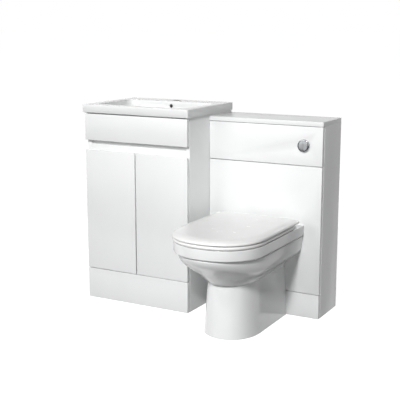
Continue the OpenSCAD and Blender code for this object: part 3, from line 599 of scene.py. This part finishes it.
def blend_rows(rows: list[tuple[float, ...]], steps: int) -> list[tuple[float, ...]]:
    """Fills smooth rows in between given ones, through every one of them.

    Args:
        rows: rows of numbers, all of one length.
        steps: rows made for each gap.

    Returns:
        The rows, from first to last.
    """
    made = []
    for i in range(len(rows) - 1):
        a, b = rows[max(i - 1, 0)], rows[i]
        c, d = rows[i + 1], rows[min(i + 2, len(rows) - 1)]
        for k in range(steps):
            t = k / steps
            made.append(tuple(
                0.5 * (2 * q + (r - p) * t + (2 * p - 5 * q + 4 * r - s) * t * t
                       + (3 * q - p - 3 * r + s) * t ** 3)
                for p, q, r, s in zip(a, b, c, d)))
    made.append(rows[-1])
    return made


def round_rect(w: float, l: float, r: float, x: float, y: float, z: float, steps: int = 16) -> list[Point3]:
    """Returns a rectangle with round corners at a height.

    Args:
        w: width along x.
        l: length along y.
        r: corner radius.
        x: centre along x.
        y: centre along y.
        z: height.
        steps: facets at each corner.

    Returns:
        Its points.
    """
    points = []
    for k, (sx, sy) in enumerate(((1, 1), (-1, 1), (-1, -1), (1, -1))):
        cx, cy = x + sx * (w / 2 - r), y + sy * (l / 2 - r)
        for i in range(steps + 1):
            a = math.pi / 2 * (k + i / steps)
            points.append((cx + r * math.cos(a), cy + r * math.sin(a), z))
    return points


# ---- sub-assemblies


@dataclass
class Assembly(ABC):
    """Part of the unit that builds and dresses its own pieces.

    Attributes:
        looks: finished materials by name.
        made: names of the pieces built so far.
    """
    looks: dict[str, Material]
    made: list[str] = field(default_factory=list, kw_only=True)

    @abstractmethod
    def build(self) -> None:
        """Builds every piece of the assembly."""

    def dress(self, piece: Solid, look: str, nodes: tuple[str, ...], body: Body, slot: Slot,
              angle: float = 35.0) -> None:
        """Gives a piece its material and body, and lets it stand for its CAD nodes.

        Args:
            piece: finished mesh.
            look: name of its material.
            nodes: CAD nodes that it stands for.
            body: body that carries it.
            slot: not used.
            angle: faces that meet at less than this are shaded smooth.
        """
        piece.data.materials.clear()
        piece.data.materials.append(self.looks[look])
        smooth(piece, angle)
        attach(piece, body.value)
        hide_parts(*nodes)
        self.made.append(piece.name)
        log.info("%s: %d faces", piece.name, len(piece.data.polygons))

    def panel(self, node: str, rounding: float, body: Body = Body.UNIT) -> None:
        """Builds a foiled board as its CAD node with softened edges.

        Args:
            node: CAD node.
            rounding: width of the softened edges in millimetres.
            body: body that carries it.
        """
        piece = node_copy(node, f"{node}_board")
        round_edges(piece, rounding)
        self.dress(piece, "gloss_board", (node,), body, Slot.BOARD, 30.0)


@dataclass
class BasinCabinet(Assembly):
    """Doors, fascia, plinth and carcass boards of the basin cabinet."""
    fronts: tuple[str, ...] = ("vanity_fascia", "vanity_plinth", "vanity_front_rail")
    carcass: tuple[str, ...] = ("vanity_side_left", "vanity_side_right", "vanity_bottom_board",
                                "vanity_back_rails", "vanity_shelf")

    def build(self) -> None:
        """Builds the boards and the two doors."""
        for node in self.fronts:
            self.panel(node, 0.7)
        for node in self.carcass:
            self.panel(node, 0.4)
        self.panel("door_left", 1.0, Body.DOOR_LEFT)
        self.panel("door_right", 1.0, Body.DOOR_RIGHT)


@dataclass
class ToiletUnit(Assembly):
    """Boards of the unit that hides the cistern."""
    boards: tuple[str, ...] = ("wc_side_left", "wc_side_right", "wc_worktop", "access_panel", "lower_panel",
                               "wc_plinth", "wc_top_rails", "wc_front_rails", "wc_back_rails",
                               "cistern_shelf")

    def build(self) -> None:
        """Builds the boards."""
        for node in self.boards:
            self.panel(node, 0.5)


@dataclass
class Basin(Assembly):
    """Ceramic basin with its bowl, tap hole, overflow and waste hole.

    Attributes:
        width: overall width.
        depth: overall depth.
        low: height of its underside.
        top: height of its deck.
        centre: x of its middle.
        bowl_y: y of the bowl's middle.
        bowl_w: width of the bowl's mouth.
        bowl_l: length of the bowl's mouth.
        bowl_z: height of the bowl's floor.
        lip: radius of the bowl's lip.
        edge: radius of the deck's outer edge.
        wall: thickness of the bowl's wall.
        tap_y: y of the tap hole.
        tap_r: radius of the tap hole.
        waste_r: radius of the waste hole.
    """
    width: float = 510.0
    depth: float = 395.0
    low: float = 806.0
    top: float = 842.0
    centre: float = -249.0
    bowl_y: float = -218.5
    bowl_w: float = 430.0
    bowl_l: float = 257.0
    bowl_z: float = 732.0
    lip: float = 4.0
    edge: float = 2.5
    wall: float = 9.5
    tap_y: float = -42.0
    tap_r: float = 17.5
    waste_r: float = 22.5

    def deck_ring(self, less: float, z: float, corner: float = 4.0) -> list[Point3]:
        """Returns the deck's plan at a height, with less width and depth."""
        return round_rect(self.width - less, self.depth - less, corner, self.centre, -self.depth / 2, z)

    def slab(self) -> Solid:
        """Returns the rim's block with rounded edges, a rebated lower edge and a hollow beneath."""
        rings = [self.deck_ring(less, self.low + up) for less, up in ((14, 0), (14, 2.4), (1.2, 3), (0, 3.8))]
        for inward, up in quarter(6):
            rings.append(self.deck_ring(2 * self.edge * inward, self.top - self.edge * (1 - up)))
        piece = loft("basin_ceramic", rings)
        hollow = [self.deck_ring(48, z, 5) for z in (self.low - 1, self.top - 10)]
        combine(piece, Mode.CUT, loft("hollow", hollow))
        return piece

    def bowl_rings(self, grow: float, top: float, flare: float) -> list[list[Point3]]:
        """Returns the bowl's rings from its floor up to its mouth.

        Args:
            grow: how far outside the bowl's inner face.
            top: height of the last straight ring.
            flare: radius of the lip, or 0.

        Returns:
            The rings.
        """
        rows = [(300, 127, 55, 0.4), (340, 167, 55, 2), (376, 203, 55, 6.5),
                (400, 227, 42, 14), (412, 239, 34, 24), (421, 248, 31, 62),
                (self.bowl_w, self.bowl_l, 28, 106)]
        rings = []
        for w, l, r, up in blend_rows(rows, 5):
            z = self.bowl_z + up - grow
            if z < top - flare:
                rings.append(round_rect(w + 2 * grow, l + 2 * grow, r + grow, self.centre, self.bowl_y, z))
        for inward, up in quarter(6)[:7 if flare else 1]:
            out = grow + flare * inward
            rings.append(round_rect(self.bowl_w + 2 * out, self.bowl_l + 2 * out, 28 + out,
                                    self.centre, self.bowl_y, top - flare + flare * up))
        return rings

    def build(self) -> None:
        """Builds the basin as one piece of china."""
        piece = self.slab()
        x, y, z = self.centre, self.bowl_y, self.bowl_z
        combine(piece, Mode.ADD,
                loft("shell", self.bowl_rings(self.wall, self.top - 6, 0)),
                rod("boss", (x, y, z - 10), 33, 24, Axis.Z),
                block("duct", (x - 27, -102, z - 16), (x + 27, -65, self.top - 6)),
                block("under", (x - 20, y, z - 16), (x + 20, -74, z - 1)))
        inside = self.bowl_rings(0, self.top, self.lip)
        mouth = [(mx, my, self.top + 5) for mx, my, _ in inside[-1]]
        turns = [math.tau * i / 72 for i in range(72)]
        flare = [[(x + r * math.cos(turn), self.tap_y + r * math.sin(turn), self.top - down)
                  for turn in turns]
                 for r, down in ((30.0, 40), (30.0, 7), (18.4, 1.6))]
        combine(piece, Mode.CUT,
                loft("inside", inside + [mouth]),
                rod("tap", (x, self.tap_y, self.top - 8), self.tap_r, 60, Axis.Z),
                loft("flare", flare),
                rod("waste", (x, y, z - 10), self.waste_r, 40, Axis.Z),
                rod("overflow", (x, -97, self.top - 21), 8, 26, Axis.Y, 64),
                block("shaft", (x - 23, -87, z - 12), (x + 23, -69, self.top - 9)),
                block("channel", (x - 9, y, z - 12), (x + 9, -78, z - 7)))
        round_edges(piece, 0.8, 2, 62.0)
        self.dress(piece, "china", ("basin",), Body.UNIT, Slot.CERAMIC, 40.0)
        # painted shade: faces in the tap hole's wall and the overflow channel take a dark clay colour that
        # stands in for the shade inside them
        piece.data.materials.append(self.looks["raw_china"])
        for face in piece.data.polygons:
            if self.in_painted_hole_shade(face.center):
                face.material_index = 1

    def in_painted_hole_shade(self, spot: Vector) -> bool:
        """Tells whether a spot is in the tap hole's wall or the overflow's channel, which get a dark clay
        colour painted as shade.

        Args:
            spot: point in the model's frame.

        Returns:
            True for a spot painted dark as shade.
        """
        near = spot - at(self.centre, self.tap_y, self.top)
        tap = math.hypot(near.x, near.y) < 31 * MM and near.z < -0.7 * MM
        low, high = at(self.centre - 24, -89.5, self.bowl_z), at(self.centre + 24, -68, self.top - 8)
        return tap or all(low[i] < spot[i] < high[i] for i in range(3))


@dataclass
class Pan(Assembly):
    """Back-to-wall toilet pan.

    Attributes:
        back: y of the face against the unit.
        rim_z: height of the rim.
        band: underside of the rim's band.
        rim: plan of the rim.
        mouth: plan of the bowl's mouth.
        wall: thickness of the china.
        foot_half: half the width of the pedestal's foot.
        foot_front: y of the front of the foot.
        taper: how much the pedestal narrows on each side over neck_z.
        neck_z: height over which it does.
        blunt: bluntness of the belly's front.
        outlet_z: height of the outlet's centre line.
        inlet_z: height of the flush inlet's centre line.
    """
    back: float = -200.0
    rim_z: float = 385.0
    band: float = 343.0
    rim: Outline = Outline(180.0, -739.0, -200.0, 175.0, 6.0)
    mouth: Egg = Egg(132.0, -691.0, -332.0, 200.0)
    wall: float = 12.0
    foot_half: float = 112.0
    foot_front: float = -592.0
    taper: float = 14.0
    neck_z: float = 220.0
    blunt: float = 2.05
    outlet_z: float = 185.0
    inlet_z: float = 330.0

    def foot(self, z: float, grow: float, back: float, nose: float, corner: float = 4.0) -> Outline:
        """Returns the tapering pedestal's plan at a height, moved outwards by grow."""
        narrow = self.taper * z / self.neck_z
        return Outline(self.foot_half - narrow + grow, self.foot_front + narrow - grow, back, nose, corner)

    def belly_rows(self) -> list[tuple[float, ...]]:
        """Returns smooth rows of height, half width, front and nose length, from the neck upwards."""
        rows = [(210.5, 97, -584, 132), (213, 100, -594, 140), (219, 103, -602, 150),
                (228, 109.5, -611, 156), (239, 121, -621, 158), (250, 136, -632, 155),
                (261, 150, -645, 153), (272, 161, -659, 154), (283, 168, -675, 158),
                (294, 171.3, -691, 166), (305, 172.8, -706, 175), (316, 173.8, -717.5, 183),
                (326, 174.4, -725, 188), (335, 174.8, -729, 191)]
        return blend_rows(rows, 3)

    def groove_rings(self) -> list[list[Point3]]:
        """Returns the rings of the belly's raised lip and of the groove between it and the rim's band."""
        rings = []
        _, half, front, nose = self.belly_rows()[-1]
        for z, by in ((336.8, 0.3), (338.2, 1.2), (339, 2.4), (339.2, 3.4), (338.6, 4.6), (337.2, 5.6),
                      (336.6, 8), (342.6, 8)):
            plan = Outline(half - by, front + by, self.back - by, nose - by, power=self.blunt)
            rings.append(plan.ring(z))
        for z, by in ((343.2, 6.5), (343.8, 3.4), (344.8, 1.8), (346.4, 0.7), (348.4, 0.15), (350, 0)):
            rings.append(self.rim.inset(by, self.back - by).ring(z))
        return rings

    def outside(self) -> Solid:
        """Returns the solid outside of the pan, from the foot to the rim."""
        rings = []
        for z in (0, 1.5, 40, 80, 120, 160, 195, 205, 209):
            rings.append(self.foot(z, 0.0 if z else -1.5, self.back, 140.0).ring(z))
        for z, half, front, nose in self.belly_rows():
            rings.append(Outline(half, front, self.back, nose, power=self.blunt).ring(z))
        rings += self.groove_rings()
        for inward, up in quarter(8):
            rings.append(self.rim.inset(3 * inward).ring(self.rim_z - 3 + 3 * up))
        return loft("pan_china", rings)

    def hollow(self) -> Solid:
        """Returns the cutter of the open space inside the pedestal, belly and band."""
        reach = self.back + 10
        plans = [(z - 2, self.foot(z, -self.wall, reach, 130.0, 2.0)) for z in (0.0, 110.0, 209.0)]
        plans += [(z, Outline(half - self.wall, front + self.wall, reach, nose - 5, 2.0))
                  for z, half, front, nose in self.belly_rows()[5::4]]
        plans += [(self.band + up, self.rim.inset(walls * self.wall, reach))
                  for up, walls in ((-10, 2), (5, 2), (8, 1), (28, 1))]
        return loft("pan_hollow", [plan.ring(z) for z, plan in plans])

    def bowl(self, grow: float, flare: float) -> Solid:
        """Returns the bowl as a solid, from the sump up to the mouth.

        Args:
            grow: how far outside the bowl's inner face.
            flare: radius of the mouth's lip, or 0.

        Returns:
            The solid.
        """
        rows = [(78, 30, -482, -422, 30), (82, 40, -492, -412, 40),
                (92, 44, -496, -408, 44), (150, 46, -498, -406, 46),
                (190, 60, -524, -396, 60), (240, 88, -576, -372, 96),
                (300, 118, -645, -345, 150), (345, 130, -683, -334, 185),
                (370, 132, -691, -332, 200)]
        top = self.rim_z - (0 if flare else 1)
        rings = []
        for z, half, front, back, nose in blend_rows(rows, 4):
            plan = Egg(half, front, back, nose, 2.0 + 0.3 * min(max((z - 150) / 200, 0), 1)).inset(-grow)
            rings.append(plan.ring(z - (grow if z < 100 else 0)))
        if flare:
            for inward, up in quarter(7):
                rings.append(self.mouth.inset(-flare * inward).ring(top - flare + flare * up))
            rings.append(self.mouth.inset(-flare).ring(top + 5))
        else:
            rings.append(self.mouth.inset(-grow).ring(top))
        return loft("bowl", rings)

    def trap(self, grow: float, end: float) -> list[Solid]:
        """Returns the waterway's pieces: up out of the sump and back to the spigot.

        Args:
            grow: how far outside its inner face.
            end: y at which it stops.

        Returns:
            The rising pipe and the level one.
        """
        low, high = Vector((PAN_X, -452, 108)), Vector((PAN_X, -345, 200))
        run = high - low
        rise = rod("rise", (0, 0, 0), 28 + grow, run.length + grow, Axis.Z)
        rise.data.transform(Matrix.Translation(-at(0, 0, 0)))
        turn = Vector((0, 0, 1)).rotation_difference(run).to_matrix().to_4x4()
        rise.data.transform(turn)
        middle = low + run.normalized() * (run.length + grow) / 2
        rise.data.transform(Matrix.Translation(at(*middle)))
        start = -350 - grow
        middle = (PAN_X, (start + end) / 2, self.outlet_z)
        level = rod("level", middle, 45 + grow, end - start, Axis.Y)
        return [rise, level]

    def build(self) -> None:
        """Builds the pan as one piece of china."""
        x = PAN_X
        bolts = [rod("bolt", (x + by, -271, 378), 7, 40, Axis.Z, 48) for by in (-77.5, 77.5)]
        piece = self.outside()
        combine(piece, Mode.CUT, self.hollow())
        combine(piece, Mode.ADD, self.bowl(self.wall, 0), *self.trap(8, self.back),
                rod("spigot", (x, -163.5, self.outlet_z), 51, 77, Axis.Y),
                rod("inlet", (x, -273, self.inlet_z), 36.6, 146, Axis.Y))
        combine(piece, Mode.CUT, self.bowl(0, 5), *self.trap(0, self.back + 76),
                rod("seal", (x, -219, self.inlet_z), 27.6, 42, Axis.Y),
                rod("flush", (x, -290, self.inlet_z), 20, 150, Axis.Y), *bolts)
        self.dress(piece, "china", ("pan",), Body.UNIT, Slot.CERAMIC, 38.0)


@dataclass
class Seat(Assembly):
    """Seat ring and lid, with their knuckles on the hinge pins.

    Attributes:
        axis_y: y of the hinge pins.
        axis_z: height of the hinge pins.
        ring_z: underside of the ring.
        ring_top: top of the ring.
        lid_z: underside of the lid.
        lid_top: top of the lid.
        margin: width of the lid's rounded margin.
        plan: plan of the lid.
        ring_lugs: distance of each of the ring's lugs from the centre line.
        lid_lugs: distance of each of the lid's lugs from it.
    """
    axis_y: float = -271.0
    axis_z: float = 403.5
    ring_z: float = 388.0
    ring_top: float = 402.0
    lid_z: float = 404.0
    lid_top: float = 421.5
    margin: float = 42.0
    plan: Outline = Outline(182.0, -750.0, -271.0, 180.0, 5.0)
    ring_lugs: float = 64.5
    lid_lugs: float = 90.5

    def lugs(self, piece: Solid, offset: float, low: Point, high: Point) -> None:
        """Adds a pair of lugs with knuckles round the hinge, and bores them for the pins.

        Args:
            piece: ring or lid.
            offset: distance of each lug from the centre line.
            low: lowest y and z of a lug.
            high: highest y and z of a lug.
        """
        places = (PAN_X - offset, PAN_X + offset)
        for x in places:
            combine(piece, Mode.ADD, block("lug", (x - 6.5, *low), (x + 6.5, *high)))
        for mode, radius, length in ((Mode.ADD, 8.0, 13.0), (Mode.CUT, 3.58, 14.0)):
            for x in places:
                spot = (x, self.axis_y, self.axis_z)
                combine(piece, mode, rod("knuckle", spot, radius, length, Axis.X, 64))

    def ring(self) -> None:
        """Builds the seat ring: crowned on top, flat beneath, rounded inside and out."""
        outer = Outline(181.0, -747.0, -283.0, 178.0, 6.0)
        inner = Egg(112.0, -675.0, -345.0, 185.0)
        rings = []
        for inward, up in quarter(8):
            plan = outer.inset(9 * (1 - up), outer.back - 4 * (1 - up))
            rings.append(plan.ring(self.ring_top - 9 * inward))
        for z, by in ((1.5, 1.2), (-0.4, 3.0), (-1.6, 5.0), (-2.0, 6.5)):
            rings.append(outer.inset(by, outer.back - by).ring(self.ring_z + z))
        rings.append(inner.inset(-1.5).ring(self.ring_z))
        rings.append(inner.ring(self.ring_z + 2))
        for inward, up in quarter(8):
            rings.append(inner.inset(-11 * inward).ring(self.ring_top - 6 + 6 * up))
        piece = loft("seat_ring_moulding", rings, hoop=True)
        self.lugs(piece, self.ring_lugs, (-290, self.ring_z + 0.5), (self.axis_y, self.ring_top - 0.5))
        self.dress(piece, "seat", ("seat_ring",), Body.SEAT, Slot.SEAT, 40.0)

    def lid(self) -> None:
        """Builds the lid: a shallow tray turned over, with a rounded margin and a rolled rear edge."""
        tall = self.lid_top - self.axis_z
        side = self.lid_z + 3
        rings = [self.lid_ring(side + (self.lid_top - side) * up, self.margin * inward, tall)
                 for inward, up in quarter(24)]
        low = [self.lid_ring(self.lid_z + up, by, tall) for up, by in ((0, 1.2), (1.2, 0), (2.2, 0))]
        piece = loft("seat_lid_moulding", low + rings)
        tray = self.plan.inset(7, self.axis_y + 10)
        inner = [tray.ring(self.lid_z - 1), tray.ring(self.lid_top - 9),
                 tray.inset(3).ring(self.lid_top - 6),
                 tray.inset(8).ring(self.lid_top - 5)]
        combine(piece, Mode.CUT, loft("tray", inner))
        for x in (PAN_X - 77.5, PAN_X + 77.5):
            notch = block("notch", (x - 16, self.axis_y - 2, self.lid_z - 1), (x + 16, -240, self.lid_z + 10))
            combine(piece, Mode.CUT, notch)
        self.lugs(piece, self.lid_lugs, (self.axis_y - 8, self.axis_z), (self.axis_y + 8, 417))
        self.dress(piece, "seat", ("seat_lid",), Body.LID, Slot.SEAT, 40.0)

    def lid_ring(self, z: float, inset: float, tall: float) -> list[Point3]:
        """Returns the lid's plan at a height, its rear edge on the roll about the hinge.

        Args:
            z: height.
            inset: how far the sides and front are moved in.
            tall: radius of the roll.

        Returns:
            The ring.
        """
        up = min(max(z - self.axis_z, 0.0), tall)
        rear = self.axis_y + math.sqrt(max(tall * tall - up * up, 0.0))
        return self.plan.inset(inset, rear).ring(z)

    def build(self) -> None:
        """Builds ring and lid."""
        self.ring()
        self.lid()


@dataclass
class FlushButton(Assembly):
    """Chrome bezel and the two halves of the split button.

    Attributes:
        x: centre along x.
        z: centre height.
        face: y of the bezel's front.
        cap_r: radius of the button.
        gap: half the split between its halves.
        offset: distance of each plunger and air way from the middle.
    """
    x: float = 421.0
    z: float = 704.5
    face: float = -210.0
    cap_r: float = 19.0
    gap: float = 0.4
    offset: float = 9.0

    def bar(self, name: str, y: float, radius: float, length: float, sides: int, by: float = 0.0) -> Solid:
        """Returns a cylinder along y about the button's middle, or by to its right."""
        return rod(name, (self.x + by, y, self.z), radius, length, Axis.Y, sides)

    def bezel(self) -> None:
        """Builds the bezel with its rounded ring, and its threaded housing."""
        piece = self.bar("flush_bezel", self.face / 2 - 100, 25, 10, 128)
        round_edges(piece, 3.2, 6)
        combine(piece, Mode.ADD, self.bar("housing", -179.5, 19, 43, 96))
        for by in (-self.offset, self.offset):
            combine(piece, Mode.ADD, self.bar("nipple", -154, 2.6, 10, 32, by))
        combine(piece, Mode.CUT, self.bar("recess", -206.5, self.cap_r + 0.5, 9, 128),
                self.bar("well", -194.5, 16, 17, 96))
        for by in (-self.offset, self.offset):
            combine(piece, Mode.CUT, self.bar("bore", -180, 2.8, 16, 32, by),
                    self.bar("way", -161, 1.2, 28, 24, by))
        self.dress(piece, "chrome", ("button_bezel",), Body.UNIT, Slot.CHROME)

    def half(self, side: int, node: str, body: Body) -> None:
        """Builds one half of the button: a cap with a rounded edge, and its plunger.

        Args:
            side: 1 for the right half, -1 for the left.
            node: CAD node that it stands for.
            body: body that carries it.
        """
        piece = self.bar(f"{node}_cap", self.face, self.cap_r, 4, 128)
        low = self.x - 30 if side > 0 else self.x - self.gap
        high = self.x + self.gap if side > 0 else self.x + 30
        combine(piece, Mode.CUT, block("rest", (low, -230, self.z - 30), (high, -190, self.z + 30)))
        round_edges(piece, 1.5, 5)
        combine(piece, Mode.ADD, self.bar("plunger", -194.5, 2.5, 29, 32, side * self.offset))
        self.dress(piece, "chrome_satin", (node,), body, Slot.CHROME)

    def build(self) -> None:
        """Builds bezel and halves."""
        self.bezel()
        self.half(1, "button_full", Body.BUTTON_FULL)
        self.half(-1, "button_half", Body.BUTTON_HALF)


# ---- finishes of the CAD nodes

FINISHES = (
    GlossBoard("gloss_board", "#f3f4f4", 0.22),
    VitreousChina("china", "#f4f5f5", 0.10),
    # painted shade: dark clay colour for the tap hole's wall and the overflow channel, standing in for the
    # shade inside them
    MouldedPlastic("raw_china", "#85817a", 0.85, drift="#79756e", grain_high_mm=0.03),
    MouldedPlastic("seat", "#f5f5f4", 0.24, drift="#f2f2f1", grain_high_mm=0.001, gloss=0.1),
    # painted reflection: the base is darker than real chrome, standing in for a dark room seen in the chrome
    Metal("chrome", "#a9abad", 0.06, stain="#9c9ea0", line_high_mm=0.0004),
    Metal("chrome_satin", "#c0c2c4", 0.34, stain="#b2b4b6", line_high_mm=0.0008, along=(8.0, 1.0, 1.0)),
    Metal("zinc_steel", "#c2c6c8", 0.32, stain="#aab0b3", line_mm=3.0, line_high_mm=0.01),
    Metal("spring_steel", "#a9acae", 0.25, stain="#8d9092"),
    MouldedPlastic("white_polymer", "#e9eae8", 0.38, drift="#e0e1df"),
    MouldedPlastic("float_polymer", "#e07a2c", 0.4, drift="#d46f24"),
    MouldedPlastic("plug_polymer", "#2f62b5", 0.36, drift="#2a59a6"),
    MouldedPlastic("buffer_rubber", "#c9cac8", 0.55, drift="#bfc0be"),
    MouldedPlastic("rubber", "#26282a", 0.62, drift="#303234", grain_high_mm=0.012),
    MouldedPlastic("tube_vinyl", "#bcd3dd", 0.22, drift="#aec8d4", gloss=0.3),
)

SLOT_LOOKS = {
    "board": "gloss_board",
    "ceramic": "china",
    "seat_plastic": "seat",
    "buffer": "buffer_rubber",
    "steel": "zinc_steel",
    "chrome": "chrome",
    "cistern_plastic": "white_polymer",
    "float_plastic": "float_polymer",
    "plug_plastic": "plug_polymer",
    "rubber": "rubber",
    "tube": "tube_vinyl",
}

NODE_LOOKS = {"button_spring_full": "spring_steel", "button_spring_half": "spring_steel"}


def dress_nodes(looks: dict[str, Material]) -> None:
    """Gives every CAD node the material of its slot's name.

    Args:
        looks: finished materials by name.
    """
    for name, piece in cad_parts.items():
        for slot in piece.material_slots:
            key = slot.material.name.split(".")[0] if slot.material else "board"
            slot.link = "OBJECT"
            slot.material = looks[NODE_LOOKS.get(name, SLOT_LOOKS.get(key, "white_polymer"))]


# ---- studio


@dataclass
class Lamp:
    """A square soft light.

    Attributes:
        name: lamp name.
        place: position in the model's frame, in metres.
        aim: point that it faces.
        size: edge length in metres.
        power: watts.
    """
    name: str
    place: Point3
    aim: Point3
    size: float
    power: float

    def build(self) -> None:
        """Adds the lamp."""
        data = bpy.data.lights.new(self.name, "AREA")
        data.shape = "SQUARE"
        data.size = self.size
        data.energy = self.power
        lamp = bpy.data.objects.new(self.name, data)
        lamp.location = self.place
        lamp.rotation_euler = (Vector(self.aim) - Vector(self.place)).to_track_quat("-Z", "Y").to_euler()
        bpy.context.scene.collection.objects.link(lamp)


@dataclass
class Studio:
    """White room, soft lights and the photo's camera.

    Attributes:
        lamps: the lights.
        ambient: strength of the room's own light on the object.
        eye: the camera's place.
        tilt: degrees that it looks down.
        turn: degrees that it stands turned to the left.
        lens: its focal length on a 36 mm film.
    """
    lamps: tuple[Lamp, ...] = (
        Lamp("key", (1.00, -4.22, 3.20), (0.0, 0.0, 0.5), 0.6, 190.0),
        Lamp("soft_left", (-1.9, -4.3, 2.5), (0.0, 0.0, 0.4), 2.2, 62.0),
        Lamp("fill_front", (-0.7, -4.4, 1.1), (0.0, 0.0, 0.4), 2.4, 6.0),
        Lamp("fill_right", (3.4, -2.4, 1.0), (0.1, 0.0, 0.4), 1.8, 7.0),
    )
    ambient: float = 0.11
    eye: Point3 = (1.728077, -3.040323, 1.183034)
    tilt: float = 11.426
    turn: float = 28.858
    lens: float = 79.51

    def seen(self, tree: Tree) -> Node:
        """Returns a node that is 1 for what the camera, a reflection or glass sees."""
        path = add_node(tree, "LightPath")
        direct = add_node(tree, "Math", {"operation": "MAXIMUM"},
                          links={0: (path, "Is Camera Ray"), 1: (path, "Is Glossy Ray")})
        return add_node(tree, "Math", {"operation": "MAXIMUM"},
                        links={0: (direct, 0), 1: (path, "Is Transmission Ray")})

    def world(self) -> None:
        """Makes the room white to the camera and in reflections, and dimmer as a light."""
        world = bpy.data.worlds.new("room")
        bpy.context.scene.world = world
        world.use_nodes = True
        tree = world.node_tree
        tree.nodes.clear()
        seen = self.seen(tree)
        dim = add_node(tree, "Background", values={"Color": (1, 1, 1, 1), "Strength": self.ambient})
        white = add_node(tree, "Background", values={"Color": (1, 1, 1, 1), "Strength": 1.0})
        mixed = add_node(tree, "MixShader", links={0: (seen, 0), 1: (dim, 0), 2: (white, 0)})
        add_node(tree, "OutputWorld", links={"Surface": (mixed, 0)})

    def sheet(self, name: str, paint: str, size: Point, place: Point3) -> tuple[Solid, Tree]:
        """Lays a level sheet with an empty material.

        Args:
            name: object name.
            paint: material name.
            size: lengths along x and y in metres.
            place: its middle.

        Returns:
            The sheet and its material's tree.
        """
        bpy.ops.mesh.primitive_plane_add(size=1.0, location=place)
        plane = bpy.context.object
        plane.name = name
        plane.data.transform(Matrix.Diagonal((*size, 1.0, 1.0)))
        material, tree = new_material(paint)
        plane.data.materials.append(material)
        return plane, tree

    def floor(self) -> None:
        """Lays a plain floor: white to the camera and in reflections with the object's faint shadow, and
        mid grey as a source of bounced light."""
        plane, tree = self.sheet("floor", "floor_white", (200.0, 200.0), (0.0, 0.0, 0.0))
        seen = self.seen(tree)
        matt = add_node(tree, "BsdfDiffuse", values={"Color": linear("#6f6f6f")})
        pale = add_node(tree, "BsdfDiffuse", values={"Color": linear("#d2d2d2")})
        glow = add_node(tree, "Emission", values={"Color": (1, 1, 1, 1), "Strength": 0.93})
        bright = add_node(tree, "AddShader", links={0: (pale, 0), 1: (glow, 0)})
        both = add_node(tree, "MixShader", links={0: (seen, 0), 1: (matt, 0), 2: (bright, 0)})
        add_node(tree, "OutputMaterial", links={"Surface": (both, 0)})

    def card(self) -> None:
        """Lays a dark card before the object that only reflections see, as behind a photographer's lamp."""
        plane, tree = self.sheet("dark_card", "card_dark", (9.0, 7.2), (0.0, -4.4, 0.004))
        matt = add_node(tree, "BsdfDiffuse", values={"Color": linear("#303030")})
        add_node(tree, "OutputMaterial", links={"Surface": (matt, 0)})
        plane.visible_camera = False
        plane.visible_diffuse = False
        plane.visible_shadow = False
        plane.visible_transmission = False

    def camera(self) -> None:
        """Places the camera as it stood for the photo."""
        data = bpy.data.cameras.new("camera")
        data.lens = self.lens
        data.sensor_width = 36.0
        data.clip_end = 100.0
        camera = bpy.data.objects.new("camera", data)
        camera.location = self.eye
        camera.rotation_euler = (math.radians(90 - self.tilt), 0.0, math.radians(self.turn))
        bpy.context.scene.collection.objects.link(camera)
        bpy.context.scene.camera = camera

    def build(self) -> None:
        """Builds room, lights and camera."""
        bpy.context.scene.view_settings.view_transform = "Standard"
        self.world()
        self.floor()
        self.card()
        for lamp in self.lamps:
            lamp.build()
        self.camera()


def main() -> None:
    """Builds every assembly in order and sets up the studio."""
    logging.basicConfig(level=logging.INFO, format="%(name)s: %(message)s")
    looks = {finish.name: finish.build() for finish in FINISHES}
    dress_nodes(looks)
    for kind in (BasinCabinet, Basin, ToiletUnit, FlushButton, Pan, Seat):
        part = kind(looks)
        part.build()
        log.info("%s: %d pieces", kind.__name__, len(part.made))
    Studio().build()


if __name__ == "__main__":
    main()
